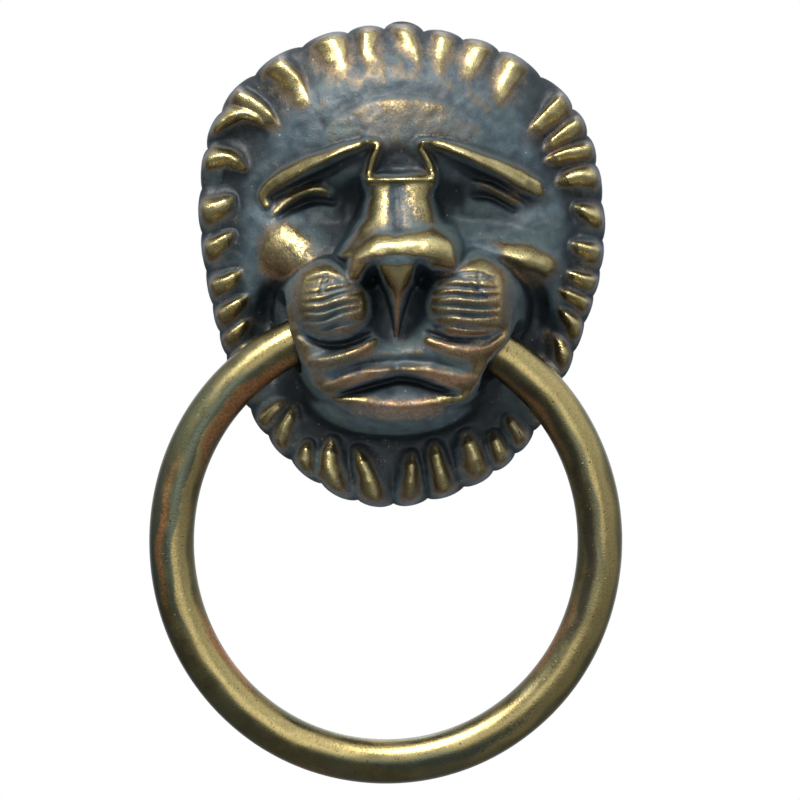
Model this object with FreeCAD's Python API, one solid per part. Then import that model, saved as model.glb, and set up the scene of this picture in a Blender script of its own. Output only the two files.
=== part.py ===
# Lion-head door knocker: a hollow cast brass head, a sprung ring of brass rod that hangs in two
# round windows in the lion's cheeks, and two M4 studs with washers and nuts through the door.
# Millimetres. X to the viewer's right, Z up, the face looks along -Y, the door's face is y = 0.
# The origin is on the door's face, behind the middle of the head.

import FreeCAD
import Part
import math
import os

V = FreeCAD.Vector

# ---------------------------------------------------------------- driving dimensions
# Outline of the mane: radius every 20 degrees, counter-clockwise from the viewer's right.
HEAD_RADII = [26.6, 28.3, 30.8, 31.4, 31.3, 31.9, 32.3, 31.9, 28.9,
              26.6, 26.3, 28.0, 30.5, 32.6, 31.7, 29.9, 26.9, 25.7]
SCALLOP_OUT = 0.2          # how far a lock's tip stands out of the outline
SCALLOP_IN = 0.75          # how deep the notch between two tips is
TUFT = 90                  # the lock whose tip stands out further
TUFT_OUT = 0.5             # and by how much
RIM_EDGE = 2.0             # thickness of the rim where it meets the door
RIM_ROLL = 1.4             # width over which the rim rounds over
RIM_CALM = 0.4             # how much of the lobes that rounding follows
RIM_LAND = 3.0             # width of the flat land that lies on the door
WALL = 2.1                 # cast wall behind the lowest nearby part of the face
WALL_REACH = 2             # how far sideways, in grid steps, the lowest part is looked for
THINNEST = 0.6             # the hollow's back edge is never closer to the door than this
GRID = 1.0                 # spacing of the face's control net
OUTSIDE = 30.0             # well in front of the whole head
LAND_POINTS = 24

LOCK_HEIGHT = 1.45         # scale of the lock heights below
LOCK_REACH = 0.3           # the locks run this far past the smooth outline
LOCK_BOW = 1.3             # scale of the sideways bows below

# Locks of the mane: direction of the tip, how far round the root is from the tip (degrees),
# length, half width, height, and sideways bow (mm).
LOCKS = [
    (122, 1, 9.0, 1.15, 2.6, -0.9), (108, 2, 8.0, 1.45, 2.6, -0.6), (99, -6, 8.5, 1.0, 2.5, 1.2),
    (90, -7, 8.0, 1.0, 2.6, -0.3), (80, -2, 7.5, 1.0, 2.4, 0.2), (70, 0, 8.0, 1.15, 2.5, 0.4),
    (61, -4, 9.0, 1.2, 2.7, 0.2), (46, 0, 7.5, 0.95, 2.5, 0.1), (38.5, 0, 7.0, 0.85, 2.1, 0.2),
    (31, 5, 7.0, 0.8, 2.1, 0.3), (23, 4, 6.0, 0.95, 2.3, 0.7), (11, 8, 4.0, 0.85, 2.0, 0.2),
    (2, 5, 5.0, 0.95, 2.1, 0.2), (354, 3, 5.0, 0.85, 2.0, 0.0), (346.5, 4, 5.5, 0.75, 1.9, 0.2),
    (337, 7, 5.0, 0.85, 1.8, 0.4), (328, 7, 6.5, 0.95, 1.2, 0.4), (320.5, 6, 6.0, 0.95, 0.9, 0.2),
    (312, 3, 5.5, 0.95, 0.9, 0.2), (304, 0, 5.5, 0.8, 1.4, 0.1), (297, 1, 5.5, 0.95, 2.1, 0.0),
    (290, 0, 8.0, 1.35, 2.5, 0.1), (280.5, -1, 8.5, 1.05, 2.5, 0.0), (271.5, 1, 8.0, 1.05, 2.5, 0.1),
    (264, -9, 8.0, 1.2, 2.6, 0.1), (254.5, -7, 8.0, 1.25, 2.5, -0.6), (245, -3, 5.0, 1.0, 2.2, -0.3),
    (236, -3, 7.0, 0.95, 1.8, -0.3), (228, 2, 5.5, 0.8, 1.2, -0.2), (219.5, -1, 5.5, 0.85, 0.9, -0.2),
    (211, -4, 6.0, 0.85, 0.9, -0.1), (204, -4, 6.0, 0.85, 1.2, -0.1), (197, -5, 6.0, 1.0, 1.9, -0.2),
    (187.5, -5, 5.5, 1.0, 2.0, 0.1), (177, -8, 4.5, 1.0, 2.0, 0.0), (166, -8, 4.5, 1.15, 2.1, 0.1),
    (153.5, -4, 6.0, 0.85, 2.2, -1.1), (146, -12, 6.5, 0.75, 2.2, -1.8), (134.5, -2, 8.0, 0.8, 2.3, -0.6)]

# The ring: a slightly oval loop of round rod with its two ends inside the head.
ROD_R = 3.0                # 6 mm rod, which sets the scale of the whole part
RING_HALF_WIDTH = 28.5     # to the middle of the rod
RING_HALF_HEIGHT = 29.3
RING_SIDE_ARC = 30.4       # radius of the flatter arcs at the two sides
RING_X = -2.3              # the ring hangs a little to the viewer's left in its windows
RING_Z = -37.1
HINGE_Y = -10.2            # depth of the rod's middle, and of the hinge line
HINGE_LEFT = (-13.3, -10.1)    # middle of the left window, x and z
HINGE_RIGHT = (13.3, -12.6)    # middle of the right window: the casting is not quite even
WINDOW_R = 4.7
WINDOW_IN = 1.4            # the round part of the window, inwards from its middle
WINDOW_OUT = 0.6           # and outwards
FLARE_START = 0.5
WINDOW_MOUTH_R = 7.1       # the window flares outwards to this
FLARE_LENGTH = 5.0
FLARE_Y = -6.2             # the flare only reaches this far back
ROD_END = 9.2              # the rod stops this far either side of the head's middle
POCKET_IN = 7.6            # the clear space around the swinging rod ends
POCKET_R = 5.4
POCKET_GAP = 1.2           # the pocket ends this far from the window's middle
SIDE_X = 9.0               # outside this the hollow stays shallow beside the windows
SIDE_LOW = -19.0
SIDE_HIGH = -2.0
SIDE_DEEP = 3.4            # depth of the hollow there

# Half widths of the muzzle at a few heights, on the viewer's left and right.
MUZZLE_Z = [-17.0, -15.0, -13.5, -12.0, -10.5, -9.0, -6.0, 0.0]
MUZZLE_LEFT = [12.6, 12.9, 13.2, 13.8, 14.5, 15.1, 15.2, 14.8]
MUZZLE_RIGHT = [10.6, 10.7, 11.2, 12.5, 13.7, 14.2, 14.4, 14.2]
MUZZLE_MID = -8.9
MUZZLE_UP = 8.4            # half height above the middle
MUZZLE_DOWN = 10.3         # and below it
MUZZLE_TOP = 17.0          # height over the door
MUZZLE_FLANK = 90          # steepness of its sides
CHIN_Z = -14.5             # below this the chin slopes back
CHIN_SLOPE = 0.5

# Fixings through the door.
STUD_Z = 20.0              # studs this far above and below the origin
SHANK_R = 2.0              # M4
THREAD_R = 1.77            # threads are drawn at their pitch radius
TAPPED_R = 1.80
DOOR = 40.0                # the door's thickness
SHANK_FRONT = -0.3         # the plain shank's two ends
SHANK_BACK = 39.9
STUD_FRONT = -7.8          # the stud's two ends
STUD_END = 46.5
STUD_CHAMFER = 0.5
BOSS_R = 4.0
BOSS_BACK = -0.5           # the boss stops just short of the door
BOSS_DRILL = -8.1          # bottom of its tapped hole
WASHER_R = 4.5
WASHER_HOLE_R = 2.15
WASHER_T = 0.8
NUT_FLATS = 7.0
NUT_T = 3.2
NUT_CHAMFER = 30           # degrees
NUT_CIRCLE = 0.97          # the chamfer's circle as a share of the width across flats


# ---------------------------------------------------------------- small helpers
def smax(a, b, k):
    """The larger of two heights with a fillet of about k where they cross."""
    return 0.5 * (a + b + math.sqrt((a - b) ** 2 + k * k))


def lerp(t, knots, values):
    """Straight-line value of a short table."""
    if t <= knots[0]:
        return values[0]
    for i in range(1, len(knots)):
        if t <= knots[i]:
            f = (t - knots[i - 1]) / (knots[i] - knots[i - 1])
            return values[i - 1] + f * (values[i] - values[i - 1])
    return values[-1]


def along_table(t, values):
    """Straight-line value of an evenly spaced table, from its start at t = 0 to its end at 1."""
    return lerp(t, [i / (len(values) - 1.0) for i in range(len(values))], values)


def catmull(a, b, c, d, t):
    """Smooth value between b and c, at share t of the way."""
    square = (2 * a - 5 * b + 4 * c - d) * t * t
    cube = (3 * b - a - 3 * c + d) * t ** 3
    return 0.5 * (2 * b + (c - a) * t + square + cube)


def head_radius(angle):
    """Smooth radius of the mane's outline."""
    n = len(HEAD_RADII)
    u = (angle / (2 * math.pi)) % 1.0 * n
    i = int(u)
    f = u - i
    p = [HEAD_RADII[(i + k) % n] for k in (-1, 0, 1, 2)]
    return catmull(p[0], p[1], p[2], p[3], f)


def turn_between(a, b):
    """Signed angle from b to a."""
    return (a - b + math.pi) % (2 * math.pi) - math.pi


def dome(x, z, cx, cz, rx, rz, top, drop, n, turn=0.0):
    """A rounded block: its top at the centre, top - drop on the ellipse, steeper outside."""
    c = math.cos(math.radians(turn))
    s = math.sin(math.radians(turn))
    u = ((x - cx) * c + (z - cz) * s) / rx
    v = ((z - cz) * c - (x - cx) * s) / rz
    return top - drop * math.hypot(u, v) ** n


def muzzle(x, z):
    """The block behind the whisker pads: steep sides that draw in towards the mouth."""
    half = lerp(z, MUZZLE_Z, MUZZLE_LEFT if x < 0 else MUZZLE_RIGHT)
    height = MUZZLE_DOWN if z < MUZZLE_MID else MUZZLE_UP
    d = ((abs(x) / half) ** 4 + (abs(z - MUZZLE_MID) / height) ** 4) ** 0.25
    chin = CHIN_SLOPE * max(0.0, CHIN_Z - z)
    return MUZZLE_TOP - chin - 1.5 * d ** 8 - MUZZLE_FLANK * max(0.0, d - 1) ** 1.2


def dent(x, z, cx, cz, rx, rz, n, turn=0.0):
    """A smooth spot of height 1, for hollows and swellings."""
    c = math.cos(math.radians(turn))
    s = math.sin(math.radians(turn))
    u = ((x - cx) * c + (z - cz) * s) / rx
    v = ((z - cz) * c - (x - cx) * s) / rz
    return math.exp(-(u * u + v * v) ** n)


def surround(points, grow):
    """A box round some points: lowest and highest x, lowest and highest z."""
    xs = [p[0] for p in points]
    zs = [p[1] for p in points]
    return min(xs) - grow, max(xs) + grow, min(zs) - grow, max(zs) + grow


class Line:
    """A raised or sunk line along a smooth curve through a few points."""

    def __init__(self, points, width, height):
        self.width = width
        self.height = height
        self.pts = self.smooth(points)
        self.box = surround(self.pts, 2.6 * max(width) + 0.5)

    def smooth(self, p):
        first = (2 * p[0][0] - p[1][0], 2 * p[0][1] - p[1][1])
        last = (2 * p[-1][0] - p[-2][0], 2 * p[-1][1] - p[-2][1])
        q = [first] + list(p) + [last]
        out = []
        for i in range(1, len(q) - 2):
            for k in range(5):
                four = q[i - 1:i + 3]
                out.append(tuple(catmull(*[point[j] for point in four], k / 5.0) for j in (0, 1)))
        out.append(p[-1])
        return out

    def nearest(self, x, z):
        """Distance to the line and share of the way along it."""
        best = 1e9
        along = 0.0
        n = len(self.pts) - 1
        for i in range(n):
            ax, az = self.pts[i]
            dx = self.pts[i + 1][0] - ax
            dz = self.pts[i + 1][1] - az
            t = ((x - ax) * dx + (z - az) * dz) / (dx * dx + dz * dz)
            t = min(1.0, max(0.0, t))
            d = math.hypot(x - ax - t * dx, z - az - t * dz)
            if d < best:
                best = d
                along = (i + t) / n
        return best, along

    def near(self, x, z):
        return self.box[0] < x < self.box[1] and self.box[2] < z < self.box[3]

    def raised(self, x, z):
        if not self.near(x, z):
            return 0.0
        d, t = self.nearest(x, z)
        return along_table(t, self.height) * math.exp(-(d / along_table(t, self.width)) ** 2)


def make_lock(tip, shift, length, half, high, bow):
    """One lock of hair as a line from its root to its tip."""
    a1 = math.radians(tip)
    a0 = math.radians(tip + shift)
    r1 = head_radius(a1) + LOCK_REACH
    p1 = (r1 * math.cos(a1), r1 * math.sin(a1))
    p0 = ((r1 - length) * math.cos(a0), (r1 - length) * math.sin(a0))
    dx = p1[0] - p0[0]
    dz = p1[1] - p0[1]
    bend = LOCK_BOW * bow / math.hypot(dx, dz)
    mid = ((p0[0] + p1[0]) / 2 - bend * dz, (p0[1] + p1[1]) / 2 + bend * dx)
    line = Line([p0, mid, p1], [half], [high])
    line.box = surround([p0, mid, p1], 4 * half + 1)
    return line


LOCK_LINES = [make_lock(*lock) for lock in LOCKS]

# Raised (or sunk) lines of the face: points, half widths, heights.
CHEEK_FOLDS = [
    Line([(7.6, 1.3), (10.5, 1.8), (13.5, 1.2), (16.5, 0.1), (19.2, -0.8)],
         [1.3, 1.6, 1.8, 1.8, 1.4], [1.4, 2.0, 2.4, 2.6, 1.6]),
    Line([(-6.8, 1.0), (-9.4, 1.0), (-12.2, 0.2), (-14.4, -1.4)],
         [1.5, 2.0, 1.6, 1.2], [1.0, 1.6, 1.8, 0.8]),
    Line([(10.0, 0.4), (12.8, -0.6), (14.0, -2.6)], [1.2, 1.4, 1.1], [0.8, 1.6, 0.6])]

LINES = [
    # rolls under the whisker pads
    Line([(-12.2, -13.2), (-9.5, -12.9), (-7.4, -12.3), (-5.4, -11.5), (-3.6, -10.4)],
         [0.8, 1.1, 1.1, 0.8], [0.7, 1.5, 1.6, 0.7]),
    Line([(13.2, -10.1), (11.6, -11.3), (9.0, -11.8), (6.2, -11.4), (3.6, -10.3)],
         [0.8, 1.2, 1.2, 0.8], [0.8, 1.7, 1.7, 0.7]),
    # upper lip, mouth and lower lip
    Line([(-10.2, -16.8), (-8.6, -16.2), (-6.4, -15.5), (-4.2, -14.9), (-2.2, -14.5)],
         [0.8, 1.0, 1.1, 0.9], [0.7, 1.7, 1.9, 1.2]),
    Line([(0.4, -14.3), (2.6, -14.6), (5.0, -15.3), (7.6, -15.8), (9.6, -15.9)],
         [0.9, 1.1, 1.1, 0.8], [1.2, 1.9, 1.7, 0.8]),
    Line([(-3.2, -14.7), (-0.8, -14.2), (1.4, -14.4)], [0.8, 0.8], [0.6, 1.0, 0.6]),
    Line([(-10.0, -17.9), (-6.8, -17.2), (-3.6, -16.3), (-0.8, -15.6), (1.8, -15.8), (4.6, -16.7),
          (7.6, -17.5)],
         [0.6, 0.6], [-0.8, -1.6, -1.6, -0.8]),
    Line([(-8.9, -18.4), (-6.8, -19.7), (-3.6, -20.5), (-0.4, -20.7), (2.8, -20.4), (5.2, -19.5),
          (6.2, -18.2)],
         [0.7, 1.0, 0.7], [0.4, 1.5, 0.4]),
    # brows: one crisp band each side, hooked at the outer end on the left
    Line([(-4.8, 15.9), (-6.4, 15.5), (-8.2, 15.0), (-10.2, 14.2), (-12.1, 13.4), (-14.1, 12.4),
          (-16.2, 11.3), (-17.9, 10.2), (-18.7, 9.0), (-18.3, 7.8)],
         [0.7, 0.9, 1.1, 1.3, 1.3, 1.0, 0.8], [2.2, 2.6, 2.6, 2.5, 2.3, 1.9, 0.9]),
    Line([(2.8, 15.9), (4.4, 15.8), (6.3, 15.3), (8.3, 14.6), (10.2, 13.8), (12.1, 13.0), (14.1, 12.0),
          (15.9, 11.0), (17.6, 10.2)],
         [0.7, 0.9, 1.1, 1.2, 1.3, 1.5, 1.3], [2.2, 2.6, 2.6, 2.5, 2.4, 2.2, 1.7]),
    # the two uprights between the brows and the bar above the nose
    Line([(-4.7, 16.0), (-3.5, 15.7), (-3.5, 15.0), (-4.0, 13.8), (-4.4, 12.4), (-4.9, 11.3), (-5.1, 10.2)],
         [0.7, 0.8, 0.7], [1.6, 2.4, 2.2, 2.0, 1.0]),
    Line([(3.2, 15.9), (2.2, 15.7), (2.4, 15.0), (3.1, 13.9), (3.7, 12.6), (4.1, 11.5), (4.3, 10.3)],
         [0.7, 0.8, 0.7], [1.6, 2.4, 2.2, 2.0, 1.0]),
    Line([(-4.8, 11.1), (-2.0, 11.2), (1.4, 11.4), (4.0, 11.4)], [0.7, 0.7], [1.5, 1.4, 1.5]),
    # upper eyelids
    Line([(-17.4, 6.4), (-16.0, 7.7), (-14.5, 8.8), (-12.8, 9.5), (-11.2, 9.6), (-9.8, 9.1)],
         [0.6, 0.9, 0.9, 0.6], [0.4, 1.3, 1.9, 0.6]),
    Line([(9.6, 10.5), (11.4, 10.3), (13.0, 9.5), (14.5, 8.6), (15.7, 7.8)],
         [0.6, 0.8, 0.9, 0.6], [0.5, 1.4, 1.6, 0.6])]


# ---------------------------------------------------------------- the face as a height over the door
def stand_out(tip):
    """Height of the lobe of one lock's tip over the notches beside it."""
    extra = TUFT_OUT if abs(math.degrees(tip) - TUFT) < 0.5 else 0.0
    return SCALLOP_IN + SCALLOP_OUT + extra


def scallop(angle):
    """Depth of the scallops: full at the crown, shallow at the sides."""
    up = math.sin(angle)
    return 0.38 + 0.62 * max(0.0, up) ** 0.8 + 0.40 * max(0.0, -up) ** 2


def lobe(angle):
    """How far the wavy edge stands out of its notches at an angle."""
    tips = sorted(math.radians(lock[0]) for lock in LOCKS)
    best = 0.0
    for i in range(len(tips)):
        d = turn_between(angle, tips[i])
        if abs(d) > 0.5:
            continue
        if d < 0:
            gap = abs(turn_between(tips[i], tips[i - 1]))
        else:
            gap = abs(turn_between(tips[(i + 1) % len(tips)], tips[i]))
        u = abs(d) / (0.53 * gap)
        if u < 1:
            best = max(best, stand_out(tips[i]) * (1 - u * u) ** 0.6)
    return best


def hair(x, z):
    """Extra height of the locks: a crest on a wide soft foot."""
    total = 0.0
    for line, lock in zip(LOCK_LINES, LOCKS):
        if not line.near(x, z):
            continue
        d, t = line.nearest(x, z)
        u = d / (lock[3] * lerp(t, [0, 0.3, 0.65, 1], [0.6, 1.0, 1.3, 1.1]))
        rise = lerp(t, [0, 0.1, 0.3, 0.6, 0.9, 1], [0, 0.45, 0.9, 1.0, 0.95, 0.85])
        high = LOCK_HEIGHT * lock[4] * rise
        here = high * (0.6 * math.exp(-(0.95 * u) ** 2.3) + 0.4 * math.exp(-(0.5 * u) ** 2))
        total = max(total, here) + 0.25 * min(total, here)
    return total


def mane(x, z):
    """Height of the mane out to its rolled rim."""
    angle = math.atan2(z, x)
    r = math.hypot(x, z)
    smooth = head_radius(angle)
    calm = smooth + RIM_CALM * scallop(angle) * (lobe(angle) - SCALLOP_IN) + 0.1 - r
    low = 0.0
    for side in (-38, -142):
        low += math.exp(-(turn_between(angle, math.radians(side)) / 0.42) ** 2)
    h = lerp(r / smooth, [0, 0.6, 0.68, 0.76, 0.84, 0.92, 1.0], [7.6, 6.8, 5.7, 4.9, 4.4, 4.0, 3.5])
    h += hair(x, z) - 1.2 * low
    roll = min(1.0, max(0.0, calm / RIM_ROLL))
    return RIM_EDGE + (h - RIM_EDGE) * math.sqrt(1 - (1 - roll) ** 2.4)


def nose(x, z, h):
    """The bridge widens to a broad tip that hooks down at both sides, over the septum."""
    top = lerp(z, [1.0, 3.5, 7.0, 10.9], [21.2, 19.6, 17.7, 16.3])
    half = lerp(z, [1.0, 2.2, 4.0, 6.0, 8.5, 10.9], [6.6, 6.1, 5.2, 4.3, 3.9, 4.2])
    bridge = top - 2.4 * (abs(x + 0.35) / half) ** 4 - 3.4 * max(0.0, z - 10.9) - 3.0 * max(0.0, 0.6 - z)
    h = smax(h, bridge, 0.7)
    side = abs(x)
    droop = (0.42 if x < 0 else 0.30) * max(0.0, side - 3.5) ** 1.3
    tip = 22.5 - 1.2 * (side / 6.0) ** 3 - 2.0 * (max(0.0, side - 6.3) / 1.2) ** 2
    tip -= 1.4 * (abs(z - 1.5 - 0.07 * x + droop) / 1.85) ** 2.4
    h = smax(h, tip, 0.6)
    # the hollow under it and the septum
    h -= 2.9 * dent(x, z, -0.9, -6.0, 4.0, 5.6, 2.2)
    if -12 < z < 0.8:
        width = lerp(z, [-10.2, -8, -6, -4, -2, -0.5], [0.5, 0.6, 0.8, 1.15, 1.9, 3.8])
        middle = lerp(z, [-9.8, -1.0], [-0.85, -0.6])
        septum = lerp(z, [-10.2, -6, -2, 0], [15.2, 18.4, 21.3, 22.2]) - 2.0 * ((x - middle) / width) ** 2
        h = smax(h, septum - 5 * max(0.0, -9.8 - z), 0.25)
    return h


def relief(x, z):
    """Height of the front of the head over the door's face."""
    if math.hypot(x, z) > head_radius(math.atan2(z, x)) + 1.8:
        return RIM_EDGE
    h = mane(x, z)
    # the plate of the face, the forehead, the jaw and the muzzle
    h = smax(h, dome(x, z, 0, 3.4, 20.4, 23.4, 11.4, 4.8, 3.2), 1.0)
    h = smax(h, dome(x, z, 0.2, 15.6, 11.4, 8.8, 13.2, 2.2, 2.4), 1.4)
    h = smax(h, dome(x, z, -1.2, -16.9, 9.6, 5.3, 13.2, 3.0, 4.0), 1.0)
    for side in (-1, 1):
        h -= 3.0 * dent(x, z, 17.2 * side, -9.0, 3.4, 6.4, 2)
        h -= 1.6 * dent(x, z, 16.6 * side, -6.0, 2.4, 3.6, 2)
    h = smax(h, muzzle(x, z), 0.8)
    for line in CHEEK_FOLDS:
        h += line.raised(x, z)
    # eye sockets, eyeballs and cheek bones
    for side in (-1, 1):
        h -= 3.0 * dent(x, z, 10.8 * side, 8.0, 6.4, 4.2, 1.7)
        h += 0.5 * dent(x, z, 12.4 * side, 6.6, 3.8, 1.7, 1.4, -12 * side)
        h -= 1.2 * dent(x, z, 6.3 * side, 6.6, 2.0, 4.0, 1.4)
    h -= 0.9 * dent(x, z, 11.5, 4.8, 6.5, 1.7, 1.5, -6)
    h += 2.0 * dent(x, z, -15.2, 1.7, 4.0, 4.2, 1.4, 25)
    h += 1.6 * dent(x, z, 17.4, -0.2, 3.8, 2.6, 1.5, -6)
    h = nose(x, z, h)
    # the recess of the lips, the whisker pads and the nostrils
    h -= 1.6 * dent(x, z, -0.6, -15.6, 8.6, 3.0, 3)
    h = smax(h, dome(x, z, -9.4, -5.6, 4.7, 5.0, 21.2, 3.4, 3.2, 12), 0.5)
    h = smax(h, dome(x, z, 8.7, -5.3, 5.1, 5.5, 21.2, 3.4, 3.2, -5), 0.5)
    for side in (-1, 1):
        h -= 2.6 * dent(x, z, 3.4 * side - 0.85, -1.7, 1.0, 1.7, 1.8, 14 * side)
    # the lower lip's swelling, the channel between the brows, then every raised line
    h += 1.0 * dent(x, z, -1.3, -18.9, 7.2, 2.0, 1.8)
    h -= 0.9 * dent(x, z, -0.7, 13.5, 2.0, 2.0, 2)
    for line in LINES:
        h += line.raised(x, z)
    return max(h, RIM_EDGE)


# ---------------------------------------------------------------- surfaces and outlines
def surface_from(heights, xs, zs):
    """A smooth surface y = -height whose control net stands over a regular grid."""
    net = [[V(xs[i], -heights[i][j], zs[j]) for j in range(len(zs))] for i in range(len(xs))]

    def knots(n):
        return [float(k) for k in range(n - 2)], [4] + [1] * (n - 4) + [4]

    uk, um = knots(len(xs))
    vk, vm = knots(len(zs))
    surf = Part.BSplineSurface()
    surf.buildFromPolesMultsKnots(net, um, vm, uk, vk, False, False, 3, 3)
    return Part.Face(surf)


def steps(low, high, pitch):
    n = int(round((high - low) / pitch))
    return [low + i * pitch for i in range(n + 1)]


def scalloped_outline():
    """The mane's edge: one arc over the tip of each lock."""
    tips = sorted(math.radians(lock[0]) for lock in LOCKS)
    arcs = []
    count = len(tips)

    def at(angle, offset):
        r = head_radius(angle) + offset * scallop(angle)
        return V(r * math.cos(angle), 0, r * math.sin(angle))

    for i in range(count):
        before = tips[i] + turn_between(tips[i - 1], tips[i]) / 2
        after = tips[i] + turn_between(tips[(i + 1) % count], tips[i]) / 2
        top = at(tips[i], stand_out(tips[i]) - SCALLOP_IN)
        arc = Part.Arc(at(before, -SCALLOP_IN), top, at(after, -SCALLOP_IN))
        arcs.append(arc.toShape())
    return Part.Wire(arcs)


def inner_outline():
    """A smooth closed curve inside the land that lies on the door."""
    pts = []
    for k in range(LAND_POINTS):
        a = 2 * math.pi * k / LAND_POINTS
        r = head_radius(a) - SCALLOP_IN - RIM_LAND
        pts.append(V(r * math.cos(a), 0, r * math.sin(a)))
    curve = Part.BSplineCurve()
    curve.interpolate(pts, True)
    return Part.Wire([curve.toShape()])


def rod(x, z, r, y0, y1):
    """A round bar along Y."""
    return Part.makeCylinder(r, y1 - y0, V(x, y0, z), V(0, 1, 0))


def lowest_near(heights, i, j):
    """The lowest height of the face within reach of one point of the grid."""
    low = heights[i][j]
    for di in range(-WALL_REACH, WALL_REACH + 1):
        for dj in range(-WALL_REACH, WALL_REACH + 1):
            a = min(len(heights) - 1, max(0, i + di))
            b = min(len(heights[0]) - 1, max(0, j + dj))
            if di * di + dj * dj <= WALL_REACH ** 2 + 1:
                low = min(low, heights[a][b])
    return low


def build_head():
    xs = steps(-31, 31, GRID)
    zs = steps(-36, 36, GRID)
    heights = [[relief(x, z) for z in zs] for x in xs]
    front = surface_from(heights, xs, zs)
    block = Part.Face(scalloped_outline()).extrude(V(0, -OUTSIDE, 0))
    head = block.cut(front.extrude(V(0, -2 * OUTSIDE, 0)))

    # the hollow follows the lowest nearby part of the face, one wall thickness behind it
    ixs = list(range(1, len(xs) - 1, 2))
    izs = list(range(0, len(zs), 2))
    deep = []
    for i in ixs:
        row = []
        for j in izs:
            low = lowest_near(heights, i, j) - WALL
            if abs(xs[i]) > SIDE_X and SIDE_LOW < zs[j] < SIDE_HIGH:
                low = min(low, SIDE_DEEP)
            row.append(max(THINNEST, low))
        deep.append(row)
    inner = surface_from(deep, [xs[i] for i in ixs], [zs[j] for j in izs])
    hollow = Part.Face(inner_outline()).extrude(V(0, -OUTSIDE, 0))
    hollow = hollow.cut(inner.extrude(V(0, -2 * OUTSIDE, 0)))
    hollow = hollow.fuse(Part.Face(inner_outline()).extrude(V(0, 1, 0)))

    # bosses for the studs are left standing in the hollow
    for z in (STUD_Z, -STUD_Z):
        hollow = hollow.cut(rod(0, z, BOSS_R, -OUTSIDE, BOSS_BACK))
    head = head.cut(hollow)
    for z in (STUD_Z, -STUD_Z):
        head = head.cut(rod(0, z, TAPPED_R, BOSS_DRILL, BOSS_BACK + 1))

    # the round windows, flared outwards, with a pocket inside where the rod's end turns
    left = V(HINGE_LEFT[0], HINGE_Y, HINGE_LEFT[1])
    right = V(HINGE_RIGHT[0], HINGE_Y, HINGE_RIGHT[1])
    along = (right - left).normalize()
    wide = 80.0
    front_part = Part.makeBox(wide, OUTSIDE, wide, V(-wide / 2, FLARE_Y - OUTSIDE, -wide / 2))
    depth = HINGE_RIGHT[0] - POCKET_IN
    for middle, out in ((left, along * -1), (right, along)):
        head = head.cut(Part.makeCylinder(WINDOW_R, WINDOW_IN + WINDOW_OUT, middle - out * WINDOW_IN, out))
        flare = Part.makeCone(WINDOW_R, WINDOW_MOUTH_R, FLARE_LENGTH, middle + out * FLARE_START, out)
        head = head.cut(flare.common(front_part))
        pocket = Part.makeCone(POCKET_R, WINDOW_R, depth - POCKET_GAP, middle - out * depth, out)
        head = head.cut(pocket)
    solids = sorted(head.Solids, key=lambda s: s.Volume)
    print("head solids", [round(s.Volume, 1) for s in solids])
    return solids[-1]


# ---------------------------------------------------------------- ring
def build_ring():
    """Four tangent arcs make the oval; the top one is open between the rod's ends."""
    a = RING_HALF_WIDTH
    b = RING_HALF_HEIGHT
    big = RING_SIDE_ARC
    # radius of the top and bottom arcs that meet the side arcs smoothly
    small = (big * big - (big - a) ** 2 - b * b) / (2 * (big - b))
    centre = V(RING_X, HINGE_Y, RING_Z)
    join = math.atan2(b - small, big - a)

    def turned(mid, radius, start, end):
        """Rod swept about mid from one angle to another, measured from +X towards +Z."""
        at = mid + V(radius * math.cos(start), 0, radius * math.sin(start))
        tangent = V(-math.sin(start), 0, math.cos(start))
        disc = Part.Face(Part.Wire([Part.makeCircle(ROD_R, at, tangent)]))
        return disc.revolve(mid, V(0, -1, 0), math.degrees(end - start))

    up = centre + V(0, 0, b - small)
    down = centre - V(0, 0, b - small)
    west = centre + V(big - a, 0, 0)
    east = centre - V(big - a, 0, 0)
    end_right = math.acos((ROD_END - up.x) / small)
    end_left = math.acos((-ROD_END - up.x) / small)
    pieces = [turned(up, small, join, end_right),
              turned(up, small, end_left, math.pi - join),
              turned(west, big, math.pi - join, math.pi + join),
              turned(down, small, math.pi + join, 2 * math.pi - join),
              turned(east, big, -join, join)]
    ring = pieces[1]
    for piece in (pieces[2], pieces[3], pieces[4], pieces[0]):
        ring = ring.fuse(piece)
    return ring.Solids[0]


# ---------------------------------------------------------------- fixings
def build_stud(z):
    stud = rod(0, z, THREAD_R, STUD_FRONT, SHANK_FRONT)
    stud = stud.fuse(rod(0, z, SHANK_R, SHANK_FRONT, SHANK_BACK))
    point = STUD_END - STUD_CHAMFER
    stud = stud.fuse(rod(0, z, THREAD_R, SHANK_BACK, point))
    tip = Part.makeCone(THREAD_R, THREAD_R - STUD_CHAMFER, STUD_CHAMFER, V(0, point, z), V(0, 1, 0))
    stud = stud.fuse(tip)
    return stud.Solids[0]


def build_washer(z):
    disc = rod(0, z, WASHER_R, DOOR, DOOR + WASHER_T)
    return disc.cut(rod(0, z, WASHER_HOLE_R, DOOR - 1, DOOR + 2))


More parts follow.
